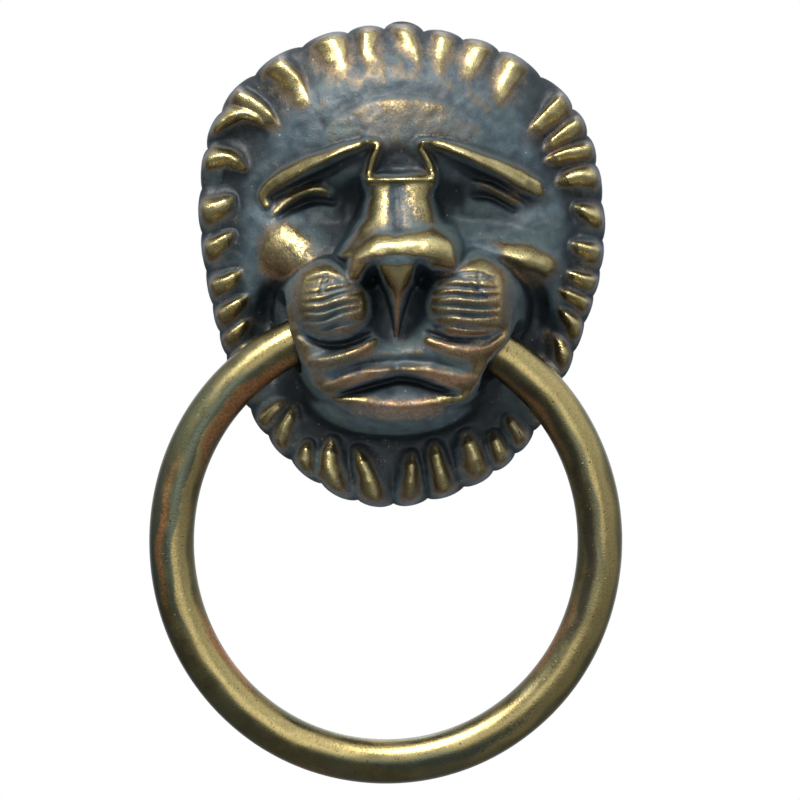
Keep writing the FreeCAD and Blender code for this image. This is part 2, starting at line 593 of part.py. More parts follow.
def build_nut(z):
    """Hexagon nut with both faces chamfered to a circle."""
    front = DOOR + WASHER_T
    corner = NUT_FLATS / math.sqrt(3)
    turns = [math.radians(60 * k + 30) for k in range(7)]
    points = [V(corner * math.cos(t), front, z + corner * math.sin(t)) for t in turns]
    nut = Part.Face(Part.makePolygon(points)).extrude(V(0, NUT_T, 0))
    flat = NUT_FLATS / 2 * NUT_CIRCLE
    round_r = corner + 0.6
    rise = (round_r - flat) * math.tan(math.radians(NUT_CHAMFER))
    middle = Part.makeCylinder(round_r, NUT_T - 2 * rise, V(0, front + rise, z), V(0, 1, 0))
    lower = Part.makeCone(flat, round_r, rise, V(0, front, z), V(0, 1, 0))
    upper = Part.makeCone(round_r, flat, rise, V(0, front + NUT_T - rise, z), V(0, 1, 0))
    nut = nut.common(middle.fuse(lower).fuse(upper))
    nut = nut.cut(rod(0, z, TAPPED_R, front - 1, front + NUT_T + 1))
    return nut.Solids[0]


def main():
    os.makedirs("parts", exist_ok=True)
    nodes = {"lion_head": build_head(), "ring": build_ring()}
    for name, z in (("upper", STUD_Z), ("lower", -STUD_Z)):
        nodes[name + "_stud"] = build_stud(z)
        nodes[name + "_washer"] = build_washer(z)
        nodes[name + "_nut"] = build_nut(z)
    for name, solid in nodes.items():
        box = solid.BoundBox
        print(name, solid.isValid(), len(solid.Faces), "faces", round(solid.Volume, 1), "mm3",
              [round(v, 2) for v in (box.XMin, box.YMin, box.ZMin, box.XMax, box.YMax, box.ZMax)])
        solid.exportStep("parts/" + name + ".step")


main()
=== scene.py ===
"""Lion-head door knocker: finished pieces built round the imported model.

Lengths in the making are millimetres in the model's frame (X right, Z up, the face looks along
-Y, the door's face is y = 0); meshes are scaled to metres when they are made.
"""
import math

import bmesh
import bpy
import numpy as np
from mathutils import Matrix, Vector


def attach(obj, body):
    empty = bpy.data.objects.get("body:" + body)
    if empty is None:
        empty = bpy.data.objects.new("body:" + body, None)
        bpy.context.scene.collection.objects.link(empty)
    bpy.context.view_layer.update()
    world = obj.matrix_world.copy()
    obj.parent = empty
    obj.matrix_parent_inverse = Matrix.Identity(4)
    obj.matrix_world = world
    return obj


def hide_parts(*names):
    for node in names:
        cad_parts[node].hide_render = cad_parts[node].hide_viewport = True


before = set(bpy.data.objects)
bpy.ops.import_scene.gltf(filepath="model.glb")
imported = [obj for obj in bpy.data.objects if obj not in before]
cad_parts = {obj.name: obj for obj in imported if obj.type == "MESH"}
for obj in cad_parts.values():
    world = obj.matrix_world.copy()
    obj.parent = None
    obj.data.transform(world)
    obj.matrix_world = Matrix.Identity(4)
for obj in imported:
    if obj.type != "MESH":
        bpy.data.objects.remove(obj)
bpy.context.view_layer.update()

MM = 0.001

# ---------------------------------------------------------------- sizes shared with the CAD model
HEAD_RADII = np.array([26.6, 28.3, 30.8, 31.4, 31.3, 31.9, 32.3, 31.9, 28.9,
                       26.6, 26.3, 28.0, 30.5, 32.6, 31.7, 29.9, 26.9, 25.7])
SCALLOP_OUT = 0.2
SCALLOP_IN = 0.75
TUFT = (90, 0.5)           # the lock whose tip stands out further, and by how much
RIM_EDGE = 2.0
RIM_CALM = 0.4             # how much of the lobes the rounding of the rim follows
RIM_ROLL = 1.4
LOCK_HEIGHT = 1.45         # scale of the lock heights below
LOCK_REACH = 0.3           # the locks run this far past the smooth outline
LOCK_BOW = 1.3             # scale of the sideways bows below
CROWN_LONGER = 0.16        # the locks at the crown are longer and wider by these shares
CROWN_WIDER = 0.22
SEED = 5                   # of the casting's unevenness and the locks' unequal wear
RIM_LAND = 3.0
WALL = 2.1
THINNEST = 0.6
ROD_R = 3.0
RING_HALF_WIDTH = 28.5
RING_HALF_HEIGHT = 29.3
RING_SIDE_ARC = 30.4
RING_X = -2.3
RING_Z = -37.1
HINGE_Y = -10.2
HINGE_LEFT = (-13.3, -10.1)
HINGE_RIGHT = (13.3, -12.6)
WINDOW_R = 4.7
WINDOW_OUT = 0.6           # the round part of the window, outwards from its middle
FLARE_START = 0.5
WINDOW_MOUTH_R = 7.1
FLARE_LENGTH = 5.0
FLARE_Y = -6.2             # the flare only reaches this far back
ROD_END = 9.2
POCKET_IN = 7.6
POCKET_R = 5.4
POCKET_GAP = 1.2           # the pocket ends this far from the window's middle
SIDE_X = 9.0
SIDE_LOW = -19.0
SIDE_HIGH = -2.0
SIDE_DEEP = 3.4
STUD_Z = 20.0
SHANK_R = 2.0
THREAD_R = 1.77
THREAD_PITCH = 0.7
TAPPED_R = 1.80
DOOR = 40.0
SHANK_FRONT = -0.3
SHANK_BACK = 39.9
STUD_FRONT = -7.8
STUD_END = 46.5
BOSS_R = 4.0
BOSS_BACK = -0.5
BOSS_DRILL = -8.1
WASHER_R = 4.5
WASHER_HOLE_R = 2.15
WASHER_T = 0.8
NUT_FLATS = 7.0
NUT_T = 3.2

# Locks of the mane: tip direction, root's lag (degrees), length, half width, height, bow, lean.
LOCKS = [
    (122, 1, 9.0, 1.15, 2.6, -0.9, 0.35), (108, 2, 8.0, 1.45, 2.6, -0.6, 0.1),
    (99, -6, 8.5, 1.0, 2.5, 1.2, -0.35), (90, -7, 8.0, 1.0, 2.6, -0.3, 0.35),
    (80, -2, 7.5, 1.0, 2.4, 0.2, 0.0), (70, 0, 8.0, 1.15, 2.5, 0.4, 0.2),
    (61, -4, 9.0, 1.2, 2.7, 0.2, 0.2), (46, 0, 7.5, 0.95, 2.5, 0.1, -0.3),
    (38.5, 0, 7.0, 0.85, 2.1, 0.2, 0.0), (31, 5, 7.0, 0.8, 2.1, 0.3, 0.0),
    (23, 4, 6.0, 0.95, 2.3, 0.7, 0.2), (11, 8, 4.0, 0.85, 2.0, 0.2, 0.2),
    (2, 5, 5.0, 0.95, 2.1, 0.2, 0.0), (354, 3, 5.0, 0.85, 2.0, 0.0, 0.0),
    (346.5, 4, 5.5, 0.75, 1.9, 0.2, 0.1), (337, 7, 5.0, 0.85, 1.8, 0.4, 0.1),
    (328, 7, 6.5, 0.95, 1.3, 0.4, 0.1), (320.5, 6, 6.0, 0.95, 1.0, 0.2, 0.1),
    (312, 3, 5.5, 0.95, 1.0, 0.2, 0.1), (304, 0, 5.5, 0.8, 1.5, 0.1, 0.0),
    (297, 1, 5.5, 0.95, 2.1, 0.0, 0.0), (290, 0, 8.0, 1.35, 2.5, 0.1, 0.0),
    (280.5, -1, 8.5, 1.05, 2.5, 0.0, 0.0), (271.5, 1, 8.0, 1.05, 2.5, 0.1, 0.0),
    (264, -9, 8.0, 1.2, 2.6, 0.1, 0.0), (254.5, -7, 8.0, 1.25, 2.5, -0.6, 0.0),
    (245, -3, 5.0, 1.0, 2.2, -0.3, 0.0), (236, -3, 7.0, 0.95, 1.8, -0.3, 0.0),
    (228, 2, 5.5, 0.8, 1.3, -0.2, 0.0), (219.5, -1, 5.5, 0.85, 1.0, -0.2, 0.0),
    (211, -4, 6.0, 0.85, 1.0, -0.1, 0.0), (204, -4, 6.0, 0.85, 1.3, -0.1, 0.0),
    (197, -5, 6.0, 1.0, 1.9, -0.2, 0.0), (187.5, -5, 5.5, 1.0, 2.0, 0.1, 0.0),
    (177, -8, 4.5, 1.0, 2.0, 0.0, 0.0), (166, -8, 4.5, 1.15, 2.1, 0.1, 0.0),
    (153.5, -4, 6.0, 0.85, 2.2, -1.1, -0.2), (146, -12, 6.5, 0.75, 2.2, -1.8, -0.3),
    (134.5, -2, 8.0, 0.8, 2.3, -0.6, 0.3)]

# Half widths of the muzzle at a few heights, on the viewer's left and right.
MUZZLE_Z = [-17.0, -15.0, -13.5, -12.0, -10.5, -9.0, -6.0, 0.0]
MUZZLE_LEFT = [12.6, 12.9, 13.2, 13.8, 14.5, 15.1, 15.2, 14.8]
MUZZLE_RIGHT = [10.6, 10.7, 11.2, 12.5, 13.7, 14.2, 14.4, 14.2]
MUZZLE_MID = -8.9
MUZZLE_UP = 8.4
MUZZLE_DOWN = 10.3
MUZZLE_TOP = 17.0
MUZZLE_FLANK = 90          # steepness of its sides
CHIN_Z = -14.5             # below this the chin slopes back
CHIN_SLOPE = 0.5

# The grid on which the face is sculpted.
STEP = 0.2
HALF_X = 29.0
HALF_Z = 34.0


# ---------------------------------------------------------------- curves and shapes for the sculpt
def smax(a, b, k):
    """The larger of two heights with a fillet of about k where they cross."""
    return 0.5 * (a + b + np.sqrt((a - b) ** 2 + k * k))


def wrap(angle):
    return (angle + np.pi) % (2 * np.pi) - np.pi


def catmull(a, b, c, d, t):
    return 0.5 * (2 * b + (c - a) * t + (2 * a - 5 * b + 4 * c - d) * t ** 2
                  + (3 * b - a - 3 * c + d) * t ** 3)


def head_radius(angle):
    """Smooth radius of the mane's outline."""
    n = len(HEAD_RADII)
    u = (angle / (2 * np.pi)) % 1.0 * n
    i = np.floor(u).astype(int)
    r = [HEAD_RADII[(i + k) % n] for k in (-1, 0, 1, 2)]
    return catmull(*r, u - i)


def scallop(angle):
    """Depth of the scallops: full at the crown, shallow at the sides."""
    up = np.sin(angle)
    return 0.38 + 0.62 * np.clip(up, 0, 1) ** 0.8 + 0.40 * np.clip(-up, 0, 1) ** 2


def outline(angle, share=1.0):
    """The wavy edge: a wide lobe round each lock's tip, a narrow notch between two."""
    tips = sorted(lock[0] for lock in LOCKS)
    tuft = tips.index(TUFT[0])
    tips = np.radians(tips)
    lobes = np.zeros_like(angle)
    for i, tip in enumerate(tips):
        before = abs(wrap(tip - tips[i - 1]))
        after = abs(wrap(tips[(i + 1) % len(tips)] - tip))
        d = wrap(angle - tip)
        u = np.where(d < 0, -d / (0.53 * before), d / (0.53 * after))
        stand = SCALLOP_IN + SCALLOP_OUT + (TUFT[1] if i == tuft else 0)
        lobes = np.maximum(lobes, stand * np.clip(1 - u * u, 0, 1) ** 0.6)
    return head_radius(angle) + share * scallop(angle) * (lobes - SCALLOP_IN)


def local(x, z, cx, cz, rx, rz, turn):
    """Coordinates about a centre, turned and scaled."""
    c, s = math.cos(math.radians(turn)), math.sin(math.radians(turn))
    return ((x - cx) * c + (z - cz) * s) / rx, ((z - cz) * c - (x - cx) * s) / rz


def dome(x, z, cx, cz, rx, rz, top, drop, n, turn=0.0):
    """A rounded block: its top at the centre, top - drop on the ellipse, steeper outside."""
    return top - drop * np.hypot(*local(x, z, cx, cz, rx, rz, turn)) ** n


def muzzle(x, z):
    """The block behind the whisker pads: steep sides that draw in towards the mouth."""
    left = np.interp(z, MUZZLE_Z, MUZZLE_LEFT)
    right = np.interp(z, MUZZLE_Z, MUZZLE_RIGHT)
    across = np.where(x < 0, -x / left, x / right)
    height = np.where(z < MUZZLE_MID, MUZZLE_DOWN, MUZZLE_UP)
    d = (across ** 4 + np.abs((z - MUZZLE_MID) / height) ** 4) ** 0.25
    chin = CHIN_SLOPE * np.clip(CHIN_Z - z, 0, None)
    return MUZZLE_TOP - chin - 1.5 * d ** 8 - MUZZLE_FLANK * np.clip(d - 1, 0, None) ** 1.2


def dent(x, z, cx, cz, rx, rz, n, turn=0.0):
    """A smooth spot of height 1, for hollows and swellings."""
    u, v = local(x, z, cx, cz, rx, rz, turn)
    return np.exp(-(u * u + v * v) ** n)


def curve(points, per=7):
    """A smooth line through points."""
    p = np.array(points, float)
    q = np.vstack([2 * p[0] - p[1], p, 2 * p[-1] - p[-2]])
    out = [catmull(*q[i - 1:i + 3], t) for i in range(1, len(q) - 2) for t in np.arange(per) / per]
    return np.array(out + [p[-1]])


def nearest(x, z, line):
    """Distance to a line, signed distance to its side, and share of the way along it."""
    best = np.full(x.shape, 1e9)
    side = np.zeros(x.shape)
    along = np.zeros(x.shape)
    runs = np.diff(line, axis=0)
    lengths = np.hypot(*runs.T)
    starts = np.r_[0, np.cumsum(lengths)]
    for k, (dx, dz) in enumerate(runs):
        t = np.clip(((x - line[k, 0]) * dx + (z - line[k, 1]) * dz) / lengths[k] ** 2, 0, 1)
        ex, ez = x - line[k, 0] - t * dx, z - line[k, 1] - t * dz
        d = np.hypot(ex, ez)
        m = d < best
        best[m] = d[m]
        side[m] = ((dx * ez - dz * ex) / lengths[k])[m]
        along[m] = ((starts[k] + t * lengths[k]) / starts[-1])[m]
    return best, side, along


def spread(t, values):
    """A short table's value at share t of its length."""
    return np.interp(t, np.linspace(0, 1, len(values)), values)


class Field:
    """Heights over the door on a regular grid, in mm."""

    def __init__(self):
        self.xs = np.arange(-HALF_X, HALF_X + STEP / 2, STEP)
        self.zs = np.arange(-HALF_Z, HALF_Z + STEP / 2, STEP)
        self.x, self.z = np.meshgrid(self.xs, self.zs)
        self.h = np.zeros_like(self.x)
        self.rub = np.zeros_like(self.x)
        self.grime = np.zeros_like(self.x)

    def window(self, line, pad):
        """The part of the grid round a line."""
        i = np.searchsorted(self.xs, [line[:, 0].min() - pad, line[:, 0].max() + pad])
        j = np.searchsorted(self.zs, [line[:, 1].min() - pad, line[:, 1].max() + pad])
        return slice(*j), slice(*i)

    def line(self, points, width, height, lean=0.0, power=2.0, rub=0.0):
        """Adds a raised line, rubbed bright by rub, or a sunk one; lean > 0 widens its left side."""
        c = curve(points)
        w = self.window(c, max(width) * (1 + abs(lean)) * 2.4 + 0.3)
        d, side, t = nearest(self.x[w], self.z[w], c)
        wide = spread(t, width) * (1 + lean * np.clip(side / 0.3, -1, 1))
        self.h[w] += spread(t, height) * np.exp(-(d / wide) ** power)
        ends = np.clip(np.minimum(t, 1 - t) / 0.08, 0, 1)
        mark = ends * np.exp(-(d / wide) ** 3.0)
        if height[len(height) // 2] > 0:
            self.rub[w] = np.maximum(self.rub[w], rub * mark)
        else:
            self.grime[w] = np.maximum(self.grime[w], 0.6 * mark)

    def spots(self, spots):
        """Adds smooth spots: height first, then as dent."""
        for height, *shape in spots:
            self.h += height * dent(self.x, self.z, *shape)

    def at(self, table, x, z):
        """A table's value at any place, between the grid's points."""
        u = np.clip((x + HALF_X) / STEP, 0, len(self.xs) - 1.001)
        v = np.clip((z + HALF_Z) / STEP, 0, len(self.zs) - 1.001)
        i, j = u.astype(int), v.astype(int)
        f, g = u - i, v - j
        low = table[j, i] * (1 - f) + table[j, i + 1] * f
        high = table[j + 1, i] * (1 - f) + table[j + 1, i + 1] * f
        return low * (1 - g) + high * g


def blur(table, sigma):
    """Gaussian blur of a grid, sigma in mm."""
    s = sigma / STEP
    n = int(3 * s + 0.5)
    kernel = np.exp(-0.5 * (np.arange(-n, n + 1) / s) ** 2)
    kernel /= kernel.sum()
    padded = np.pad(table, n, mode="edge")
    for axis in (0, 1):
        padded = np.apply_along_axis(lambda row: np.convolve(row, kernel, "valid"), axis, padded)
    return padded


def lock_line(tip, lag, length, bow):
    """A lock's crest from its root to its tip."""
    a1, a0 = math.radians(tip), math.radians(tip + lag)
    r1 = float(head_radius(np.array(a1))) + LOCK_REACH
    p1 = r1 * np.array([math.cos(a1), math.sin(a1)])
    p0 = (r1 - length) * np.array([math.cos(a0), math.sin(a0)])
    d = p1 - p0
    across = np.array([-d[1], d[0]]) / np.hypot(*d)
    return curve([p0, (p0 + p1) / 2 + bow * LOCK_BOW * across, p1], 9)


# How the finish varies over the face, with painted shade under the nose's tip and the jaw. Gain and offset of
# the wear, then place, size and power.
RUBBED_AND_SHADED = [
    (0.30, 0.16, -0.6, 18.0, 11.0, 4.6, 2),      # forehead
    (1.0, 0.08, 0.6, 20.0, 6.4, 1.9, 2),
    (0.3, 0.02, -0.7, 13.5, 2.2, 1.8, 2),        # channel between the brows
    (0.35, 0.42, -15.3, 0.9, 3.6, 3.0, 1.8),     # left cheek
    (0.6, 0.20, -16.2, -0.6, 2.2, 1.4, 1.5),
    (1.0, 0.15, -15.6, 0.6, 4.4, 4.6, 2),
    (0.5, 0.46, 16.4, -0.8, 3.9, 2.5, 1.6, -10),  # right cheek
    (0.35, 0.05, 9.6, 1.6, 3.6, 1.6, 2),
    (0.7, 0.18, -0.4, 7.0, 3.8, 3.4, 2.5),       # bridge
    (0.2, -0.12, -1.0, 6.8, 0.8, 3.6, 2),        # groove down the bridge
    # painted shade: less wear, so darker, under the nose's tip
    (0.35, -0.25, -0.5, 0.2, 6.4, 0.8, 2),       # under the nose's tip
    (0.3, 0.12, 14.2, -6.0, 1.2, 6.4, 2.5),      # the muzzle's flanks
    (0.3, 0.12, -14.1, -6.4, 1.2, 6.4, 2.5),
    (0.3, 0.05, -12.0, -13.4, 2.6, 2.6, 2),
    (0.3, 0.02, -0.5, -15.4, 13.0, 2.6, 3),      # lips
    (0.25, 0.07, -1.3, -19.4, 7.4, 1.7, 3),      # lower lip
    # painted shade: less wear, so darker, under the jaw
    (0.1, -0.2, -0.5, -22.8, 11.5, 1.7, 2),      # under the jaw
    (0.4, 0.02, -7.2, -11.8, 6.0, 2.0, 2),       # rolls under the pads
    (0.4, 0.02, 8.4, -11.6, 6.0, 2.0, 2),
    (0.25, 0.17, -9.4, -4.2, 4.2, 3.4, 2.5),     # whisker pads
    (0.20, 0.04, -9.6, -8.4, 4.4, 2.4, 2.5),
    (0.25, 0.19, 8.6, -5.2, 5.2, 5.2, 2.5),
    (0.35, 0.02, -0.75, -6.4, 1.6, 4.0, 2)]      # septum
SPECKLED = [
    (0.42, 0.3, 18.3, 10.4, 4.6, 2), (0.9, -0.4, 6.8, 3.9, 3.4, 2.5), (1.0, -1.3, -20.0, 7.4, 1.5, 2),
    (1.0, -14.8, 1.4, 3.6, 3.4, 1.5), (0.8, -7.6, -12.3, 4.5, 1.3, 2), (0.6, 8.6, -11.6, 4.6, 1.4, 2),
    (0.7, 16.4, -0.6, 3.6, 2.2, 2), (0.7, -9.4, -6.0, 4.6, 4.8, 2), (0.7, 8.7, -5.6, 5.0, 5.2, 2),
    (0.5, -0.4, -13.0, 9.0, 1.2, 2), (0.5, -14.0, 12.0, 5.0, 1.6, 2, -24), (0.5, 13.0, 12.2, 5.0, 1.6, 2, 26)]
COPPERY = [
    (1.0, 0.6, -19.6, 6.4, 1.8, 2), (1.0, 5.4, -15.6, 4.6, 1.5, 2), (0.7, -5.8, -15.6, 4.2, 1.4, 2),
    (0.9, -5.2, -11.9, 1.8, 1.2, 2), (0.75, 8.6, -10.8, 5.4, 2.6, 2), (0.9, -0.7, -6.4, 1.2, 4.5, 2),
    (0.8, -6.2, -1.2, 1.2, 1.4, 1.5), (0.8, 5.8, -0.6, 1.5, 1.0, 1.5), (0.5, -10.4, 12.4, 6.4, 0.7, 2, 24),
    (0.5, 13.4, 11.0, 5.0, 0.7, 2, -26), (0.9, -15.9, -1.4, 3.0, 1.5, 2, -12), (0.6, -17.4, 1.4, 1.3, 2.8, 2),
    (0.8, 15.2, -1.9, 2.2, 0.9, 2), (0.5, 12.2, -4.6, 1.2, 4.4, 2), (0.4, -6.4, -6.0, 1.2, 3.6, 2)]


# ---------------------------------------------------------------- the face
def sculpt():
    """The face and mane as heights, the distance in from the edge, and the locks' rubbed crests."""
    f = Field()
    seeded = np.random.default_rng(SEED)
    x, z = f.x, f.z
    angle = np.arctan2(z, x)
    r = np.hypot(x, z)
    edge = outline(angle) - r
    calm = outline(angle, RIM_CALM) + 0.1 - r
    low = sum(np.exp(-(wrap(angle - math.radians(s)) / 0.42) ** 2) for s in (-38, -142))
    mane = np.interp(r / head_radius(angle), [0, 0.6, 0.68, 0.76, 0.84, 0.92, 1.0],
                     [7.6, 6.8, 5.7, 4.9, 4.4, 4.0, 3.5]) - 1.2 * low
    hair = np.zeros_like(x)
    crest = np.zeros_like(x)
    flank = np.zeros_like(x)
    for tip, lag, length, half, high, bow, lean in LOCKS:
        crown = max(0.0, math.sin(math.radians(tip)))
        c = lock_line(tip, lag, length * (1 + CROWN_LONGER * crown), bow)
        half = half * (1 + CROWN_WIDER * crown)
        w = f.window(c, half * 4 + 1)
        d, side, t = nearest(x[w], z[w], c)
        wide = half * np.interp(t, [0, 0.3, 0.65, 1], [0.5, 1.0, 1.3, 1.1])
        lean = lean - 0.35 * math.cos(math.radians(tip))
        wide = wide * (1 + lean * np.clip(side / 0.4, -1, 1))
        tall = high * LOCK_HEIGHT * np.interp(t, [0, 0.1, 0.3, 0.6, 0.9, 1], [0, 0.45, 0.9, 1.0, 0.95, 0.85])
        u = d / wide
        here = tall * (0.6 * np.exp(-np.abs(u * 0.95) ** 2.3) + 0.4 * np.exp(-(u * 0.5) ** 2))
        hair[w] = np.maximum(hair[w], here) + 0.25 * np.minimum(hair[w], here)
        share = 0.80 + 0.20 * math.sin(math.radians(tip)) + seeded.uniform(-0.12, 0.06)
        rubbed = share * np.interp(t, [0, 0.08, 0.22, 0.75, 0.92, 1], [0, 0.6, 1, 0.95, 0.6, 0.35])
        crest[w] = np.maximum(crest[w], rubbed * np.exp(-np.abs(u * 0.8) ** 1.7))
        near = share * np.exp(-np.abs(u * (0.5 + 0.25 * crown)) ** 2)
        flank[w] = np.maximum(flank[w], near * np.clip(t / 0.35 - 0.2, 0, 1))
    h = mane + hair
    roll = np.clip(calm / RIM_ROLL, 0, 1)
    h = RIM_EDGE + (h - RIM_EDGE) * np.sqrt(1 - (1 - roll) ** 2.4)
    # the plate of the face, the forehead, the jaw and the muzzle
    h = smax(h, dome(x, z, 0, 3.4, 20.4, 23.4, 11.4, 4.8, 3.2), 1.0)
    h = smax(h, dome(x, z, 0.2, 15.6, 11.4, 8.8, 13.2, 2.2, 2.4), 1.4)
    h = smax(h, dome(x, z, -1.2, -16.9, 9.6, 5.3, 13.2, 3.0, 4.0), 1.0)
    for s in (-1, 1):
        h = h - 3.0 * dent(x, z, 17.2 * s, -9.0, 3.4, 6.4, 2)
        h = h - 1.6 * dent(x, z, 16.6 * s, -6.0, 2.4, 3.6, 2)
    f.h = smax(h, muzzle(x, z), 0.8)
    # folds from the nose's wings to the cheeks
    f.line([(7.6, 1.3), (10.5, 1.8), (13.5, 1.2), (16.5, 0.1), (19.2, -0.8)], [1.3, 1.6, 1.8, 1.8, 1.4],
           [1.4, 2.0, 2.4, 2.6, 1.6], 0.3)
    f.line([(-6.8, 1.0), (-9.4, 1.0), (-12.2, 0.2), (-14.4, -1.4)], [1.5, 2.0, 1.6, 1.2],
           [1.0, 1.6, 1.8, 0.8])
    f.line([(10.0, 0.4), (12.8, -0.6), (14.0, -2.6)], [1.2, 1.4, 1.1], [0.8, 1.6, 0.6])
    # eye sockets, eyeballs, cheek bones
    for s in (-1, 1):
        f.spots([(-3.0, 10.8 * s, 8.0, 6.4, 4.2, 1.7), (0.5, 12.4 * s, 6.6, 3.8, 1.7, 1.4, -12 * s),
                 (-1.2, 6.3 * s, 6.6, 2.0, 4.0, 1.4)])
    f.spots([(-0.9, 11.5, 4.8, 6.5, 1.7, 1.5, -6), (2.0, -15.2, 1.7, 4.0, 4.2, 1.4, 25),
             (1.6, 17.4, -0.2, 3.8, 2.6, 1.5, -6)])
    sculpt_nose(f)
    # the lips' recess, the whisker pads and the nostrils
    f.spots([(-1.6, -0.6, -15.6, 8.6, 3.0, 3)])
    f.h = smax(f.h, dome(x, z, -9.4, -5.6, 4.7, 5.0, 21.2, 3.4, 3.2, 12), 0.5)
    f.h = smax(f.h, dome(x, z, 8.7, -5.3, 5.1, 5.5, 21.2, 3.4, 3.2, -5), 0.5)
    f.spots([(-2.6, 3.4 * s - 0.85, -1.7, 1.0, 1.7, 1.8, 14 * s) for s in (-1, 1)])
    sculpt_lines(f)
    # the unevenness of a hand-worked sand casting
    for size, depth in ((0.35, 0.035), (0.9, 0.06), (2.4, 0.12)):
        uneven = blur(seeded.standard_normal(x.shape), size)
        f.h += depth * uneven / uneven.std() * np.clip(edge / 1.5, 0, 1)
    f.h = np.where(edge > -0.6, np.maximum(f.h, RIM_EDGE), RIM_EDGE)
    return f, edge, crest, flank


def sculpt_nose(f):
    """The bridge widens to a broad tip that hooks down at both sides, over the septum."""
    x, z = f.x, f.z
    top = np.interp(z, [1.0, 3.5, 7.0, 10.9], [21.2, 19.6, 17.7, 16.3])
    half = np.interp(z, [1.0, 2.2, 4.0, 6.0, 8.5, 10.9], [6.6, 6.1, 5.2, 4.3, 3.9, 4.2])
    bridge = top - 2.4 * (np.abs(x + 0.35) / half) ** 4
    bridge = bridge - 3.4 * np.clip(z - 10.9, 0, None) - 3.0 * np.clip(0.6 - z, 0, None)
    f.h = smax(f.h, bridge, 0.7)
    side = np.abs(x)
    tip = 22.5 - 1.2 * (side / 6.0) ** 3 - 2.0 * (np.clip(side - 6.3, 0, None) / 1.2) ** 2
    droop = np.where(x < 0, 0.42, 0.30) * np.clip(side - 3.5, 0, 9) ** 1.3
    tip = tip - 1.4 * np.abs((z - 1.5 - 0.07 * x + droop) / 1.85) ** 2.4
    f.h = smax(f.h, tip, 0.6)
    f.spots([(-2.9, -0.9, -6.0, 4.0, 5.6, 2.2)])
    width = np.interp(z, [-10.2, -8, -6, -4, -2, -0.5], [0.3, 0.45, 0.75, 1.15, 1.9, 3.8])
    mid = np.interp(z, [-9.8, -1], [-0.85, -0.6])
    septum = np.interp(z, [-10.2, -6, -2, 0], [15.2, 18.4, 21.3, 22.2]) - 2.0 * ((x - mid) / width) ** 2
    septum = np.where((z < 0.8) & (z > -12), septum - 5 * np.clip(-9.8 - z, 0, 9), 0)
    f.h = smax(f.h, septum, 0.25)


